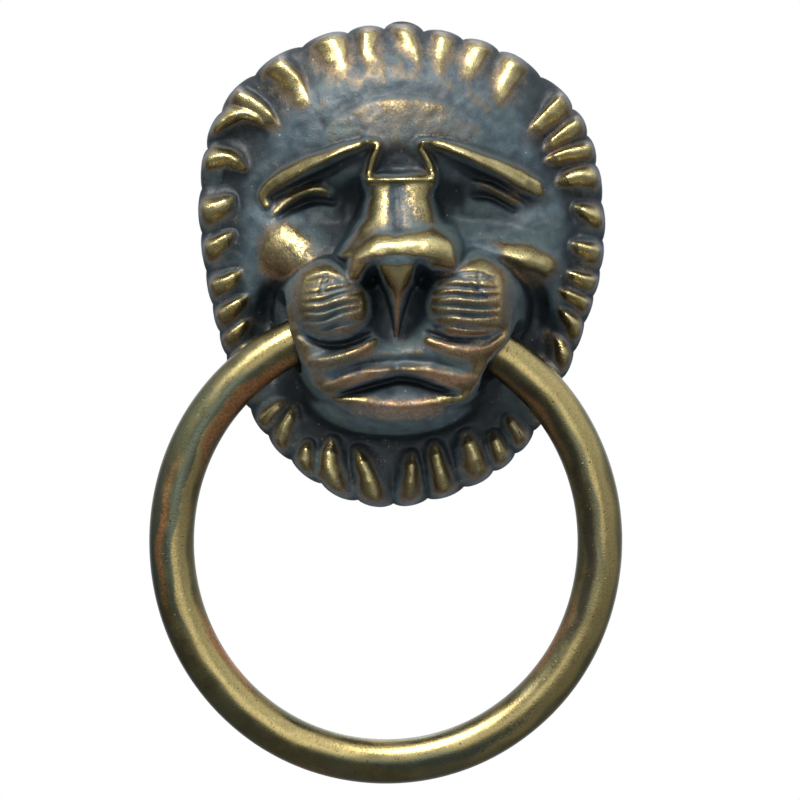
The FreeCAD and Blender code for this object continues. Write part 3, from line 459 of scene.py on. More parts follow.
def sculpt_lines(f):
    """Lips, brows, lids and whisker grooves."""
    # rolls under the pads, and the creases over them
    f.line([(-12.2, -13.2), (-9.5, -12.9), (-7.4, -12.3), (-5.4, -11.5), (-3.6, -10.4)],
           [0.7, 1.0, 1.0, 0.65], [0.7, 1.5, 1.6, 0.7], -0.2, 2.4, 0.40)
    f.line([(-13.4, -9.6), (-10.6, -10.8), (-7.2, -10.8), (-4.6, -9.7)], [0.5] * 2, [-0.6, -0.9, -0.8])
    f.line([(13.2, -10.1), (11.6, -11.3), (9.0, -11.8), (6.2, -11.4), (3.6, -10.3)],
           [0.8, 1.2, 1.2, 0.75], [0.8, 1.7, 1.7, 0.7], 0.2, 2.4, 0.38)
    f.line([(12.8, -9.2), (11.0, -10.0), (8.0, -10.3), (5.0, -10.0), (3.3, -9.4)], [0.42] * 2,
           [-0.5, -0.9, -0.6])
    # upper lip: two arches that meet in a dark dip; the mouth; the lower lip
    f.line([(-10.2, -16.8), (-8.6, -16.2), (-6.4, -15.5), (-4.2, -14.9), (-2.2, -14.5)],
           [0.7, 1.15, 1.25, 1.0], [0.7, 1.7, 1.9, 1.2], 0.0, 3.0, 0.34)
    f.line([(0.4, -14.3), (2.6, -14.6), (5.0, -15.3), (7.6, -15.8), (9.6, -15.9)],
           [0.95, 1.3, 1.3, 0.85], [1.2, 1.9, 1.7, 0.8], 0.0, 3.0, 0.40)
    f.line([(-3.2, -14.7), (-0.8, -14.2), (1.4, -14.4)], [0.8] * 2, [0.6, 1.0, 0.6])
    f.line([(-10.0, -17.9), (-6.8, -17.2), (-3.6, -16.3), (-0.8, -15.6), (1.8, -15.8), (4.6, -16.7),
            (7.6, -17.5)], [0.5] * 3, [-0.8, -1.7, -1.7, -0.8])
    f.spots([(1.0, -1.3, -18.9, 7.2, 2.0, 1.8)])
    f.line([(-8.9, -18.4), (-6.8, -19.7), (-3.6, -20.5), (-0.4, -20.7), (2.8, -20.4), (5.2, -19.5),
            (6.2, -18.2)],
           [0.9, 1.5, 1.7, 1.5, 0.9], [0.4, 1.1, 1.4, 1.1, 0.4], 0.5, 2.4, 0.22)
    # brows: flat-topped bands, crisp at the top, undercut below
    f.line([(-4.8, 15.9), (-6.4, 15.5), (-8.2, 15.0), (-10.2, 14.2), (-12.1, 13.4), (-14.1, 12.4),
            (-16.2, 11.3), (-17.9, 10.2), (-18.7, 9.0), (-18.3, 7.8)],
           [0.6, 0.75, 0.95, 1.25, 1.25, 0.95, 0.7], [2.2, 2.6, 2.6, 2.5, 2.3, 1.9, 0.9], 0.15, 3.4, 0.85)
    f.line([(-6.8, 14.9), (-8.4, 14.4), (-10.0, 13.6), (-11.9, 12.8), (-13.8, 11.8), (-16.0, 10.7)],
           [0.7] * 2, [0.4, 1.2, 1.5, 1.5, 0.6])
    f.line([(-6.4, 13.7), (-9.4, 12.3), (-12.4, 11.0), (-15.2, 9.6)], [0.7] * 2, [-0.4, -1.0, -0.9, -0.4])
    f.line([(2.8, 15.9), (4.4, 15.8), (6.3, 15.3), (8.3, 14.6), (10.2, 13.8), (12.1, 13.0), (14.1, 12.0),
            (15.9, 11.0), (17.6, 10.2)],
           [0.6, 0.75, 0.95, 1.05, 1.2, 1.5, 1.3], [2.2, 2.6, 2.6, 2.5, 2.4, 2.2, 1.7], -0.15, 3.4, 0.85)
    f.line([(6.4, 14.7), (8.5, 14.0), (10.0, 13.2), (11.8, 12.3), (13.8, 11.3), (15.8, 10.2)], [0.7] * 2,
           [0.4, 1.2, 1.5, 1.5, 0.7])
    f.line([(6.2, 13.2), (9.2, 11.9), (12.2, 10.5), (14.6, 9.0)], [0.7] * 2, [-0.4, -1.0, -0.9, -0.4])
    f.line([(-4.7, 16.0), (-3.5, 15.7), (-3.5, 15.0), (-4.0, 13.8), (-4.4, 12.4), (-4.9, 11.3),
            (-5.1, 10.2)],
           [0.6, 0.7, 0.6], [1.6, 2.4, 2.2, 2.0, 1.0], 0.0, 2.4, 0.85)
    f.line([(3.2, 15.9), (2.2, 15.7), (2.4, 15.0), (3.1, 13.9), (3.7, 12.6), (4.1, 11.5), (4.3, 10.3)],
           [0.6, 0.7, 0.6], [1.6, 2.4, 2.2, 2.0, 1.0], 0.0, 2.4, 0.85)
    f.line([(-4.8, 11.1), (-2.0, 11.2), (1.4, 11.4), (4.0, 11.4)], [0.65] * 2, [1.5, 1.4, 1.5], 0.0, 2.4, 0.8)
    f.spots([(-0.9, -0.7, 13.5, 2.0, 2.0, 2)])
    # lids, and the creases under them
    f.line([(-17.4, 6.4), (-16.0, 7.7), (-14.5, 8.8), (-12.8, 9.5), (-11.2, 9.6), (-9.8, 9.1)],
           [0.55, 0.8, 0.85, 0.55], [0.4, 1.3, 1.9, 0.6], 0.2, 2.4, 0.55)
    f.line([(9.6, 10.5), (11.4, 10.3), (13.0, 9.5), (14.5, 8.6), (15.7, 7.8)],
           [0.55, 0.75, 0.8, 0.55], [0.5, 1.4, 1.6, 0.6], -0.2, 2.4, 0.5)
    f.line([(-16.4, 6.0), (-14.2, 7.3), (-11.8, 8.2), (-9.2, 8.0)], [0.5] * 2, [-0.5, -1.0, -0.5])
    f.line([(9.4, 8.9), (12.0, 8.6), (14.6, 7.0)], [0.5] * 2, [-0.5, -0.9, -0.4])
    # the edge of the forehead's dome
    f.line([(-12.4, 15.6), (-10.2, 18.8), (-6.2, 21.4), (-1.0, 22.6), (4.4, 22.0), (9.0, 19.6),
            (12.2, 16.2)],
           [1.1] * 2, [-0.2, -0.6, -0.7, -0.6, -0.2], 0.3)
    # the groove down the bridge
    f.line([(-0.9, 10.2), (-0.9, 7), (-0.8, 3.8)], [0.8, 0.7], [-0.5, -0.5, -0.1])
    # whisker grooves: slanted on the left pad, level on the right
    for row, slant, cut in ((-3.1, 0.7, 0.4), (-4.3, 1.0, 0.6), (-5.4, 1.5, 0.8), (-6.6, 1.2, 1.0),
                            (-7.8, 1.6, 1.1), (-9.1, 1.2, 1.0)):
        f.line([(-13.1, row - 0.1), (-10.8, row + 0.1 * slant), (-8.4, row + 0.7 * slant),
                (-5.9, row + slant)],
               [0.22, 0.34, 0.26], [-0.3 * cut, -cut, -0.4 * cut])
    for row, slant, cut in ((-2.4, 0.3, 0.5), (-3.5, -0.1, 0.8), (-4.7, 0.2, 1.0), (-5.9, -0.2, 1.1),
                            (-7.2, 0.1, 1.1), (-8.6, -0.3, 0.9)):
        f.line([(4.1, row), (6.8, row + 0.25 + slant / 2), (9.8, row + slant / 2), (12.4, row + slant)],
               [0.24, 0.34, 0.28], [-0.35 * cut, -cut, -0.5 * cut])
    f.line([(-12.6, -2.3), (-10.4, -1.7), (-8.2, -2.3)], [0.24] * 2, [-0.3, -0.5, -0.3])
    f.line([(5.4, -2.0), (8.2, -1.5), (10.6, -1.6), (12.2, -2.7)], [0.24] * 2, [-0.3, -0.5, -0.3])
    for a, b in (((-10.3, -1.8), (-11.0, -4.2)), ((-9.6, -2.2), (-10.6, -3.8)),
                 ((9.0, -3.0), (11.0, -4.7)), ((9.9, -1.6), (10.2, -3.2))):
        f.line([a, b], [0.2] * 2, [-0.4] * 2)


# ---------------------------------------------------------------- mesh helpers
def new_object(name, points, faces):
    """A mesh object from points in mm."""
    mesh = bpy.data.meshes.new(name)
    mesh.from_pydata((np.asarray(points, float) * MM).tolist(), [], faces)
    mesh.update()
    obj = bpy.data.objects.new(name, mesh)
    bpy.context.scene.collection.objects.link(obj)
    return obj


def closed_sides(loop, shift):
    """Faces of the wall behind a loop and its back cap; shift is the step to the back's points."""
    ahead = loop[1:] + loop[:1]
    wall = [(a, a + shift, b + shift, b) for a, b in zip(loop, ahead)]
    return wall, [a + shift for a in reversed(loop)]


def slab(name, xs, zs, heights, back):
    """A solid whose front is a height field; its back is flat at y = back."""
    nx, nz = len(xs), len(zs)
    x, z = np.meshgrid(xs, zs)
    front = np.column_stack([x.ravel(), -heights.ravel(), z.ravel()])
    ids = np.arange(nx * nz).reshape(nz, nx)
    quads = np.stack([ids[:-1, :-1], ids[:-1, 1:], ids[1:, 1:], ids[1:, :-1]], -1).reshape(-1, 4)
    loop = [*ids[0, :-1], *ids[:-1, -1], *ids[-1, :0:-1], *ids[:0:-1, 0]]
    points = np.vstack([front, [[front[i, 0], back, front[i, 2]] for i in loop]])
    n = len(loop)
    behind = [nx * nz + k for k in range(n)]
    wall = [(int(loop[k]), behind[k], behind[(k + 1) % n], int(loop[(k + 1) % n])) for k in range(n)]
    return new_object(name, points, quads.tolist() + wall + [behind[::-1]])


def prism(name, line, front, back):
    """A closed outline (x, z), anticlockwise from the front, drawn out along Y."""
    n = len(line)
    points = [(p[0], front, p[1]) for p in line] + [(p[0], back, p[1]) for p in line]
    wall, cap = closed_sides(list(range(n)), n)
    return new_object(name, points, wall + [list(range(n)), cap])


def tube_faces(rows, m, outward=True):
    """Quads between neighbouring rows of m points, then the two end caps."""
    faces = []
    for k in range(rows - 1):
        for i in range(m):
            j = (i + 1) % m
            quad = (k * m + i, k * m + j, (k + 1) * m + j, (k + 1) * m + i)
            faces.append(quad if outward else (quad[0], quad[3], quad[2], quad[1]))
    low = list(range(m))
    high = list(range((rows - 1) * m, rows * m))
    return faces + ([low[::-1], high] if outward else [low, high[::-1]])


def lathe(name, profile, origin=(0, 0, 0), axis=(0, 1, 0), segments=96):
    """A solid of revolution; profile gives the place along the axis and the radius."""
    axis = Vector(axis).normalized()
    u = axis.cross(Vector((0, 0, 1))).normalized()
    v = axis.cross(u)
    turn = np.linspace(0, 2 * np.pi, segments, endpoint=False)
    spoke = np.outer(np.cos(turn), u) + np.outer(np.sin(turn), v)
    rings = [np.array(origin) + s * np.array(axis) + r * spoke for s, r in profile]
    return new_object(name, np.vstack(rings), tube_faces(len(profile), segments))


def combine(obj, tool, operation):
    """Exact boolean of two closed solids; the tool is used up."""
    mod = obj.modifiers.new("combine", "BOOLEAN")
    mod.operation = operation
    mod.solver = "MANIFOLD"
    mod.object = tool
    mesh = bpy.data.meshes.new_from_object(obj.evaluated_get(bpy.context.evaluated_depsgraph_get()))
    obj.modifiers.clear()
    obj.data = mesh
    bpy.data.objects.remove(tool)
    if not len(mesh.polygons):
        raise RuntimeError(obj.name + " is empty after " + operation)


def finish_piece(obj, node, body, material, angle=35.0, keep_soft=None):
    """Smooth shading with sharp edges, then the piece's place in the model."""
    bm = bmesh.new()
    bm.from_mesh(obj.data)
    limit = math.radians(angle)
    for edge in bm.edges:
        soft = keep_soft is not None and keep_soft[edge.verts[0].index] and keep_soft[edge.verts[1].index]
        edge.smooth = soft or edge.calc_face_angle(0.0) < limit
    for face in bm.faces:
        face.smooth = True
    bm.to_mesh(obj.data)
    bm.free()
    obj.data.materials.clear()
    obj.data.materials.append(material)
    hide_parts(node)
    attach(obj, body)


# ---------------------------------------------------------------- materials
class Paint:
    """A material's node tree, built by short calls. Patterns use coordinates in mm."""

    def __init__(self, name):
        self.mat = bpy.data.materials.new(name)
        self.mat.use_nodes = True
        self.nodes = self.mat.node_tree.nodes
        self.links = self.mat.node_tree.links
        self.shader = self.nodes["Principled BSDF"]
        coord = self.nodes.new("ShaderNodeTexCoord")
        scale = self.nodes.new("ShaderNodeVectorMath")
        scale.operation = "SCALE"
        scale.inputs["Scale"].default_value = 1 / MM
        self.links.new(coord.outputs["Object"], scale.inputs[0])
        self.mm = scale.outputs[0]

    def put(self, socket, value):
        if isinstance(value, bpy.types.NodeSocket):
            self.links.new(value, socket)
        else:
            socket.default_value = value

    def math(self, operation, a, b=0.0, clamp=False):
        node = self.nodes.new("ShaderNodeMath")
        node.operation = operation
        node.use_clamp = clamp
        self.put(node.inputs[0], a)
        self.put(node.inputs[1], b)
        return node.outputs[0]

    def times(self, a, b, clamp=False):
        return self.math("MULTIPLY", a, b, clamp)

    def plus(self, a, b):
        return self.math("ADD", a, b)

    def swing(self, value, reach=None):
        """A value round 0.5 as a swing round nothing, reach from end to end."""
        middle = self.math("SUBTRACT", value, 0.5)
        return middle if reach is None else self.times(middle, reach)

    def noise(self, size, detail, rough, stretch=None):
        """Noise whose features are about size mm across."""
        node = self.nodes.new("ShaderNodeTexNoise")
        node.inputs["Scale"].default_value = 1 / size
        node.inputs["Detail"].default_value = detail
        node.inputs["Roughness"].default_value = rough
        self.links.new(self.mm if stretch is None else self.stretched(stretch), node.inputs["Vector"])
        return node.outputs["Fac"]

    def stretched(self, stretch):
        node = self.nodes.new("ShaderNodeVectorMath")
        node.operation = "MULTIPLY"
        self.links.new(self.mm, node.inputs[0])
        node.inputs[1].default_value = stretch
        return node.outputs[0]

    def cells(self, size):
        """Distance from the nearest of many points, about size mm apart."""
        node = self.nodes.new("ShaderNodeTexVoronoi")
        node.inputs["Scale"].default_value = 1 / size
        self.links.new(self.mm, node.inputs["Vector"])
        return node.outputs["Distance"]

    def ramp(self, value, low, high, out_low=0.0, out_high=1.0):
        """Smooth step of a value from low to high."""
        node = self.nodes.new("ShaderNodeMapRange")
        node.interpolation_type = "SMOOTHSTEP"
        self.put(node.inputs["Value"], value)
        node.inputs["From Min"].default_value = low
        node.inputs["From Max"].default_value = high
        node.inputs["To Min"].default_value = out_low
        node.inputs["To Max"].default_value = out_high
        return node.outputs["Result"]

    def mix(self, share, a, b):
        """Colour a to colour b."""
        node = self.nodes.new("ShaderNodeMix")
        node.data_type = "RGBA"
        self.put(node.inputs["Factor"], share)
        ins = [s for s in node.inputs if s.type == "RGBA"]
        self.put(ins[0], a if isinstance(a, bpy.types.NodeSocket) else (*a, 1.0))
        self.put(ins[1], b if isinstance(b, bpy.types.NodeSocket) else (*b, 1.0))
        return [s for s in node.outputs if s.type == "RGBA"][0]

    def attribute(self, name):
        node = self.nodes.new("ShaderNodeAttribute")
        node.attribute_name = name
        parts = self.nodes.new("ShaderNodeSeparateColor")
        self.links.new(node.outputs["Color"], parts.inputs[0])
        return parts.outputs[:3]

    def bump(self, height, depth, normal=None):
        """Relief of the given depth in mm."""
        node = self.nodes.new("ShaderNodeBump")
        node.inputs["Strength"].default_value = 1.0
        node.inputs["Distance"].default_value = depth * MM
        self.links.new(height, node.inputs["Height"])
        if normal is not None:
            self.links.new(normal, node.inputs["Normal"])
        return node.outputs["Normal"]

    def finish(self, color, metallic, roughness, normal):
        self.put(self.shader.inputs["Base Color"], color)
        self.put(self.shader.inputs["Metallic"], metallic)
        self.put(self.shader.inputs["Roughness"], roughness)
        self.links.new(normal, self.shader.inputs["Normal"])
        return self.mat


def head_material():
    """Old brass: rubbed bright where hands reach, blue-grey patina in the recesses, brown between, with
    painted shade along the rim, in the crown's valleys, in the windows and under the nose and jaw.
    """
    p = Paint("head_brass_aged")
    wear, copper, speckle = p.attribute("finish")
    recess_and_shade, back, paleness = p.attribute("place")
    grain = p.noise(0.34, 4.0, 0.7)
    fine = p.noise(0.13, 2.0, 0.5)
    cloud = p.noise(2.2, 5.0, 0.62)
    broad = p.noise(6.5, 3.0, 0.55)
    # the patina gives way to brass where wear beats the grain
    rub = p.plus(wear, p.swing(grain, 0.55))
    rub = p.plus(rub, p.swing(cloud, 0.5))
    mottle = p.times(speckle, p.swing(grain))
    rub = p.plus(rub, p.times(mottle, 1.5))
    bright = p.ramp(rub, 0.30, 0.74)
    patina = p.mix(p.ramp(cloud, 0.32, 0.68), (0.026, 0.042, 0.053), (0.055, 0.084, 0.097))
    patina = p.mix(p.ramp(broad, 0.48, 0.72), patina, (0.044, 0.072, 0.068))
    patina = p.mix(p.ramp(broad, 0.44, 0.26), patina, (0.052, 0.047, 0.042))
    # paler patina on up-facing slopes, in the right eye's hollow and on the forehead
    paler_patina = p.times(p.ramp(paleness, 0.45, 1.0), p.ramp(cloud, 0.30, 0.62), True)
    patina = p.mix(p.times(paler_patina, 0.5), patina, (0.090, 0.112, 0.112))
    # darkest patina in the recesses, and painted shade along the rim, in the crown's valleys and in the
    # windows
    patina = p.mix(p.ramp(recess_and_shade, 0.42, 0.90), patina, (0.009, 0.015, 0.019))
    # a brown film lies between bare brass and full patina
    film = p.mix(p.ramp(fine, 0.3, 0.7), (0.078, 0.062, 0.042), (0.165, 0.132, 0.084))
    red = p.mix(p.ramp(grain, 0.35, 0.65), (0.25, 0.115, 0.055), (0.38, 0.24, 0.135))
    reddish = p.times(copper, p.ramp(broad, 0.18, 0.50), True)
    film = p.mix(p.times(reddish, 0.7), film, red)
    brass = p.mix(p.ramp(cloud, 0.35, 0.7), (0.56, 0.475, 0.23), (0.41, 0.33, 0.135))
    brass = p.mix(p.times(reddish, 0.8), brass, red)
    color = p.mix(p.ramp(rub, 0.06, 0.34), patina, film)
    color = p.mix(bright, color, brass)
    # small dark pits everywhere and bright grazed specks here and there
    spots = p.cells(0.8)
    pits = p.times(p.ramp(spots, 0.20, 0.06), p.ramp(broad, 0.35, 0.60))
    color = p.mix(p.times(pits, 0.7), color, (0.016, 0.020, 0.022))
    grazed = p.times(p.ramp(p.cells(1.1), 0.16, 0.05), p.ramp(cloud, 0.52, 0.62))
    color = p.mix(p.times(grazed, 0.6), color, (0.46, 0.43, 0.33))
    raw = p.mix(p.ramp(cloud, 0.3, 0.7), (0.11, 0.080, 0.042), (0.21, 0.155, 0.075))
    color = p.mix(back, color, raw)
    metallic = p.ramp(rub, 0.05, 0.50, 0.12, 1.0)
    rough = p.ramp(rub, 0.1, 0.75, 0.44, 0.27)
    rough = p.plus(rough, p.swing(fine, 0.25))
    rough = p.plus(rough, p.times(back, 0.15))
    normal = p.bump(grain, 0.07)
    normal = p.bump(fine, 0.025, normal)
    normal = p.bump(p.ramp(spots, 0.0, 0.22), 0.04, normal)
    return p.finish(color, metallic, rough, normal)


def ring_material():
    """Aged brass rod: olive film drawn out along the rod, brown and green streaks, nicks; bare brass where
    worn and as a painted highlight on the lit sides, painted shade on the sides away from the light.
    """
    p = Paint("ring_brass_aged")
    wear, copper, green = p.attribute("finish")
    along, around, dark = p.attribute("rod")
    grain = p.noise(0.3, 3.0, 0.6)
    fine = p.noise(0.10, 2.0, 0.5)
    cloud = p.noise(3.2, 4.0, 0.6)
    broad = p.noise(11.0, 2.0, 0.5)
    shake = p.swing(grain, 0.6)
    olive = p.mix(p.ramp(cloud, 0.35, 0.68), (0.150, 0.122, 0.055), (0.215, 0.178, 0.080))
    olive = p.mix(p.ramp(broad, 0.42, 0.66), olive, (0.165, 0.158, 0.085))
    bare = p.mix(p.ramp(grain, 0.35, 0.65), (0.40, 0.315, 0.135), (0.32, 0.245, 0.095))
    # bare brass from wear, and a painted highlight on the sides the light falls on
    color = p.mix(p.ramp(p.plus(wear, shake), 0.30, 0.72), olive, bare)
    color = p.mix(p.ramp(p.plus(green, shake), 0.35, 0.70), color, (0.115, 0.125, 0.082))
    brown = p.mix(p.ramp(grain, 0.35, 0.65), (0.32, 0.135, 0.055), (0.50, 0.25, 0.11))
    color = p.mix(p.ramp(p.plus(copper, shake), 0.30, 0.72, 0.0, 0.9), color, brown)
    # painted shade: darker on the sides of the rod away from the light
    color = p.mix(p.ramp(p.plus(dark, shake), 0.30, 0.75, 0.0, 0.75), color, (0.062, 0.052, 0.038))
    pits = p.ramp(p.cells(1.6), 0.13, 0.0)
    color = p.mix(p.times(pits, 0.8), color, (0.045, 0.036, 0.026))
    # short nicks across the rod
    place = p.nodes.new("ShaderNodeCombineXYZ")
    p.put(place.inputs[0], p.times(along, 480.0))
    p.put(place.inputs[1], p.times(around, 6.0))
    cut = p.nodes.new("ShaderNodeTexVoronoi")
    cut.inputs["Scale"].default_value = 1.0
    p.links.new(place.outputs[0], cut.inputs["Vector"])
    nick = p.times(p.ramp(cut.outputs["Distance"], 0.16, 0.05), p.ramp(cloud, 0.42, 0.56))
    color = p.mix(p.times(nick, 0.7), color, (0.060, 0.050, 0.035))
    rough = p.ramp(cloud, 0.3, 0.7, 0.22, 0.34)
    rough = p.plus(rough, p.swing(fine, 0.2))
    rough = p.plus(rough, p.times(copper, 0.10))
    normal = p.bump(grain, 0.022)
    normal = p.bump(fine, 0.008, normal)
    normal = p.bump(p.math("SUBTRACT", 1.0, pits), 0.03, normal)
    normal = p.bump(p.math("SUBTRACT", 1.0, nick), 0.05, normal)
    return p.finish(color, 1.0, rough, normal)


def steel_material():
    """Zinc-dull turned steel."""
    p = Paint("stud_steel_turned")
    turned = p.noise(0.35, 2.0, 0.5, (0.15, 3.0, 0.15))
    cloud = p.noise(1.8, 3.0, 0.6)
    color = p.mix(p.ramp(cloud, 0.3, 0.7), (0.42, 0.42, 0.41), (0.56, 0.56, 0.54))
    rough = p.ramp(turned, 0.3, 0.7, 0.24, 0.42)
    return p.finish(color, 1.0, rough, p.bump(turned, 0.008))


# ---------------------------------------------------------------- the cast head
def lowest_nearby(heights, reach):
    """Lowest height within reach cells."""
    out = heights.copy()
    span = range(-reach, reach + 1)
    for di in span:
        for dj in span:
            if di * di + dj * dj <= reach * reach + 1:
                out = np.minimum(out, np.roll(heights, (di, dj), (0, 1)))
    return out


def head_finish(f, edge, locks, flank):
    """How far the patina is rubbed off, how coppery it is, how speckled, how deep it lies with painted shade
    along the rim and in the crown's valleys, and how pale it is.
    """
    fine = f.h - blur(f.h, 0.9)
    swell = f.h - blur(f.h, 2.4)
    gz, gx = np.gradient(blur(f.h, 0.25), STEP)
    facing = 1 / np.sqrt(1 + gx ** 2 + gz ** 2)
    wear = np.clip(1.25 * fine + 0.36 * swell - 0.1, 0, 1)
    # places that hands pass over, places they don't reach, and painted shade under the nose's tip and the
    # jaw: gain, offset, then a spot
    for gain, offset, *spot in RUBBED_AND_SHADED:
        here = dent(f.x, f.z, *spot)
        wear = np.clip(wear * (1 + (gain - 1) * here) + offset * here, 0, 1)
    wear = np.maximum(wear, f.rub * (0.75 + 0.5 * np.clip(wear, 0, 0.5))) * (1 - f.grime)
    wear *= np.clip((facing - 0.22) / 0.3, 0, 1)
    hair = np.clip((np.hypot(f.x / 20.5, (f.z - 3.0) / 24.0) - 0.93) / 0.12, 0, 1)
    locks = 0.95 * locks * (0.5 + 0.7 * np.clip(wear * 2, 0, 1))
    wear = wear * (1 - hair) + np.maximum(locks, 0.24 * flank) * hair
    wear *= np.clip(edge / 1.0, 0, 1) ** 0.7
    speck = sum(k * dent(f.x, f.z, *spot) for k, *spot in SPECKLED)
    copper = 0.06 + sum(k * dent(f.x, f.z, *spot) for k, *spot in COPPERY)
    copper = copper + 0.55 * hair * flank * np.clip(1 - 1.4 * locks, 0, 1)
    recess_and_shade = 0.38 - 0.30 * swell - 0.55 * np.minimum(fine, 0) + 0.3 * f.grime
    # painted shade: the patina darkens along the rim's rounded edge
    recess_and_shade = np.clip(recess_and_shade + 0.45 * np.clip(1 - edge / 1.9, 0, 1), 0, 1)
    # paler patina on slopes that face up, less in recesses
    paleness = np.clip(0.5 - 0.9 * blur(gz, 0.6), 0, 1) * np.clip(1.2 - 1.2 * recess_and_shade, 0, 1)
    # painted shade: the up-facing valleys between the crown's locks are darkened and made less pale
    crown = np.clip(f.z / np.hypot(f.x, f.z).clip(1), 0, 1) * hair * np.clip(1 - 1.5 * locks, 0, 1)
    recess_and_shade = np.clip(recess_and_shade + 0.35 * crown, 0, 1)
    paleness = paleness * (1 - 0.7 * crown)
    # the right eye's hollow is the palest
    hollow = dent(f.x, f.z, 10.5, 4.6, 5.6, 3.4, 2, -10)
    paleness = np.clip(paleness + 0.8 * hollow + 0.4 * dent(f.x, f.z, 1.0, 19.0, 9.0, 3.6, 2), 0, 1)
    recess_and_shade = recess_and_shade * (1 - 0.6 * hollow)
    return (wear, np.clip(copper, 0, 1), np.clip(speck, 0, 1)), (recess_and_shade, paleness)


def build_head():
    f, edge, locks, flank = sculpt()
    turn = np.linspace(0, 2 * np.pi, 1500, endpoint=False)
    outer = np.column_stack([outline(turn) * np.cos(turn), outline(turn) * np.sin(turn)])
    head = slab("lion_head_cast", f.xs, f.zs, f.h, 1.0)
    combine(head, prism("edge", outer, -30.0, 0.0), "INTERSECT")

    # the hollow follows the lowest nearby part of the face, one wall behind it
    coarse = 3
    xs, zs = f.xs[::coarse], f.zs[::coarse]
    deep = lowest_nearby(f.h[::coarse, ::coarse], 4) - WALL
    beside = (np.abs(xs)[None, :] > SIDE_X) & (zs[:, None] > SIDE_LOW) & (zs[:, None] < SIDE_HIGH)
    deep = np.where(beside, np.minimum(deep, SIDE_DEEP), deep)
    deep = np.maximum(blur(deep, 0.25), THINNEST)
    hollow = slab("hollow", xs, zs, deep, 1.0)
    inner = head_radius(turn[::5]) - SCALLOP_IN - RIM_LAND
    inner = np.column_stack([inner * np.cos(turn[::5]), inner * np.sin(turn[::5])])
    combine(hollow, prism("inside", inner, -30.0, 0.9), "INTERSECT")
    for z in (STUD_Z, -STUD_Z):
        combine(hollow, lathe("boss", [(-30, BOSS_R), (BOSS_BACK, BOSS_R)], (0, 0, z)), "DIFFERENCE")
    combine(head, hollow, "DIFFERENCE")
    for z in (STUD_Z, -STUD_Z):
        tapped = [(BOSS_DRILL, TAPPED_R), (BOSS_BACK - 0.3, TAPPED_R), (BOSS_BACK + 0.1, TAPPED_R + 0.4)]
        combine(head, lathe("tapped", tapped, (0, 0, z), segments=48), "DIFFERENCE")

    # the round windows, flared outwards and inwards so that the ring's ends can swing
    left = Vector((HINGE_LEFT[0], HINGE_Y, HINGE_LEFT[1]))
    right = Vector((HINGE_RIGHT[0], HINGE_Y, HINGE_RIGHT[1]))
    depth = HINGE_RIGHT[0] - POCKET_IN
    window = [(-depth, POCKET_R), (-POCKET_GAP, WINDOW_R), (WINDOW_OUT, WINDOW_R)]
    flare = [(FLARE_START, WINDOW_R), (FLARE_START + FLARE_LENGTH, WINDOW_MOUTH_R)]
    reach = HALF_X
    front_half = [(-reach, -reach), (reach, -reach), (reach, 0), (-reach, 0)]
    for middle, out in ((left, left - right), (right, right - left)):
        combine(head, lathe("window", window, middle, out), "DIFFERENCE")
        mouth = lathe("flare", flare, middle, out)
        combine(mouth, prism("front_half", front_half, -reach, FLARE_Y), "INTERSECT")
        combine(head, mouth, "DIFFERENCE")

    # what the finish needs to know, sampled from the sculpted grid
    n = len(head.data.vertices)
    place = np.empty(n * 3)
    head.data.vertices.foreach_get("co", place)
    x, y, z = place.reshape(-1, 3).T / MM
    front = (np.abs(y + f.at(f.h, x, z)) < 0.12) & (y < -0.5)
    finish, lie = head_finish(f, edge, locks, flank)
    colors = np.zeros((2, n, 4), np.float32)
    for k in range(3):
        colors[0, :, k] = np.where(front, f.at(finish[k], x, z), 0.0)
    colors[1, :, 0] = np.where(front, f.at(lie[0], x, z), 0.5)
    colors[1, :, 2] = np.where(front, f.at(lie[1], x, z), 0.3)
    # the mane's outer wall and the windows are as dark as the face, the hollow is raw
    outer_wall = (np.hypot(x, z) > head_radius(np.arctan2(z, x)) - 0.9) & (y < -0.4)
    windows = (np.abs(x) > POCKET_IN) & (y < -5.0) & (z > SIDE_LOW) & (z < SIDE_HIGH)
    colors[1, :, 1] = np.where(front | outer_wall | windows, 0.0, 1.0)
    # painted shade: the windows' walls take the darkest patina
    colors[1, windows & ~front, 0] = 0.9
    for name, values in zip(("finish", "place"), colors):
        data = head.data.attributes.new(name, "FLOAT_COLOR", "POINT")
        data.data.foreach_set("color", values.ravel())
    finish_piece(head, "lion_head", "head", head_material(), 35.0, front)


# ---------------------------------------------------------------- the ring
# Streaks of the finish along the rod: strength, place round the ring (degrees) and reach, then
# the side of the rod (-1 is the side towards the ring's middle, 1 the outer side) and width.
# the first table is wear and also a painted highlight: bare brass on the sides of the rod that face up and to
# the right
RING_WORN_AND_LIT = [
    (0.9, 180, 50, -0.35, 0.40), (0.8, 0, 60, 0.45, 0.45), (0.5, 120, 34, 0.30, 0.35),
    (0.9, 62, 34, 0.35, 0.5), (0.9, 262, 50, -0.5, 0.35), (0.6, 222, 30, -0.3, 0.5), (0.6, 315, 30, 0.2, 0.5)]
RING_COPPERY = [
    (1.0, 136, 26, -0.66, 0.36), (0.75, 178, 26, 0.50, 0.22), (0.6, 40, 26, -0.75, 0.3),
    (0.7, 215, 22, -0.8, 0.3), (0.6, 330, 24, -0.8, 0.3), (0.5, 250, 20, 0.85, 0.3)]
RING_GREEN = [
    (0.95, 146, 30, -0.12, 0.22), (0.8, 182, 34, 0.12, 0.18), (0.8, 180, 40, 0.85, 0.25),
    (0.6, 10, 30, 0.0, 0.25), (0.7, 285, 40, 0.2, 0.4)]
# painted shade: dark streaks on the sides of the rod that face down and to the left
RING_SHADED = [
    (0.55, 5, 40, -0.45, 0.35), (0.5, 52, 26, -0.5, 0.35), (0.4, 190, 40, 0.78, 0.2),
    (0.35, 270, 60, 0.5, 0.3), (0.4, 345, 30, -0.4, 0.3)]


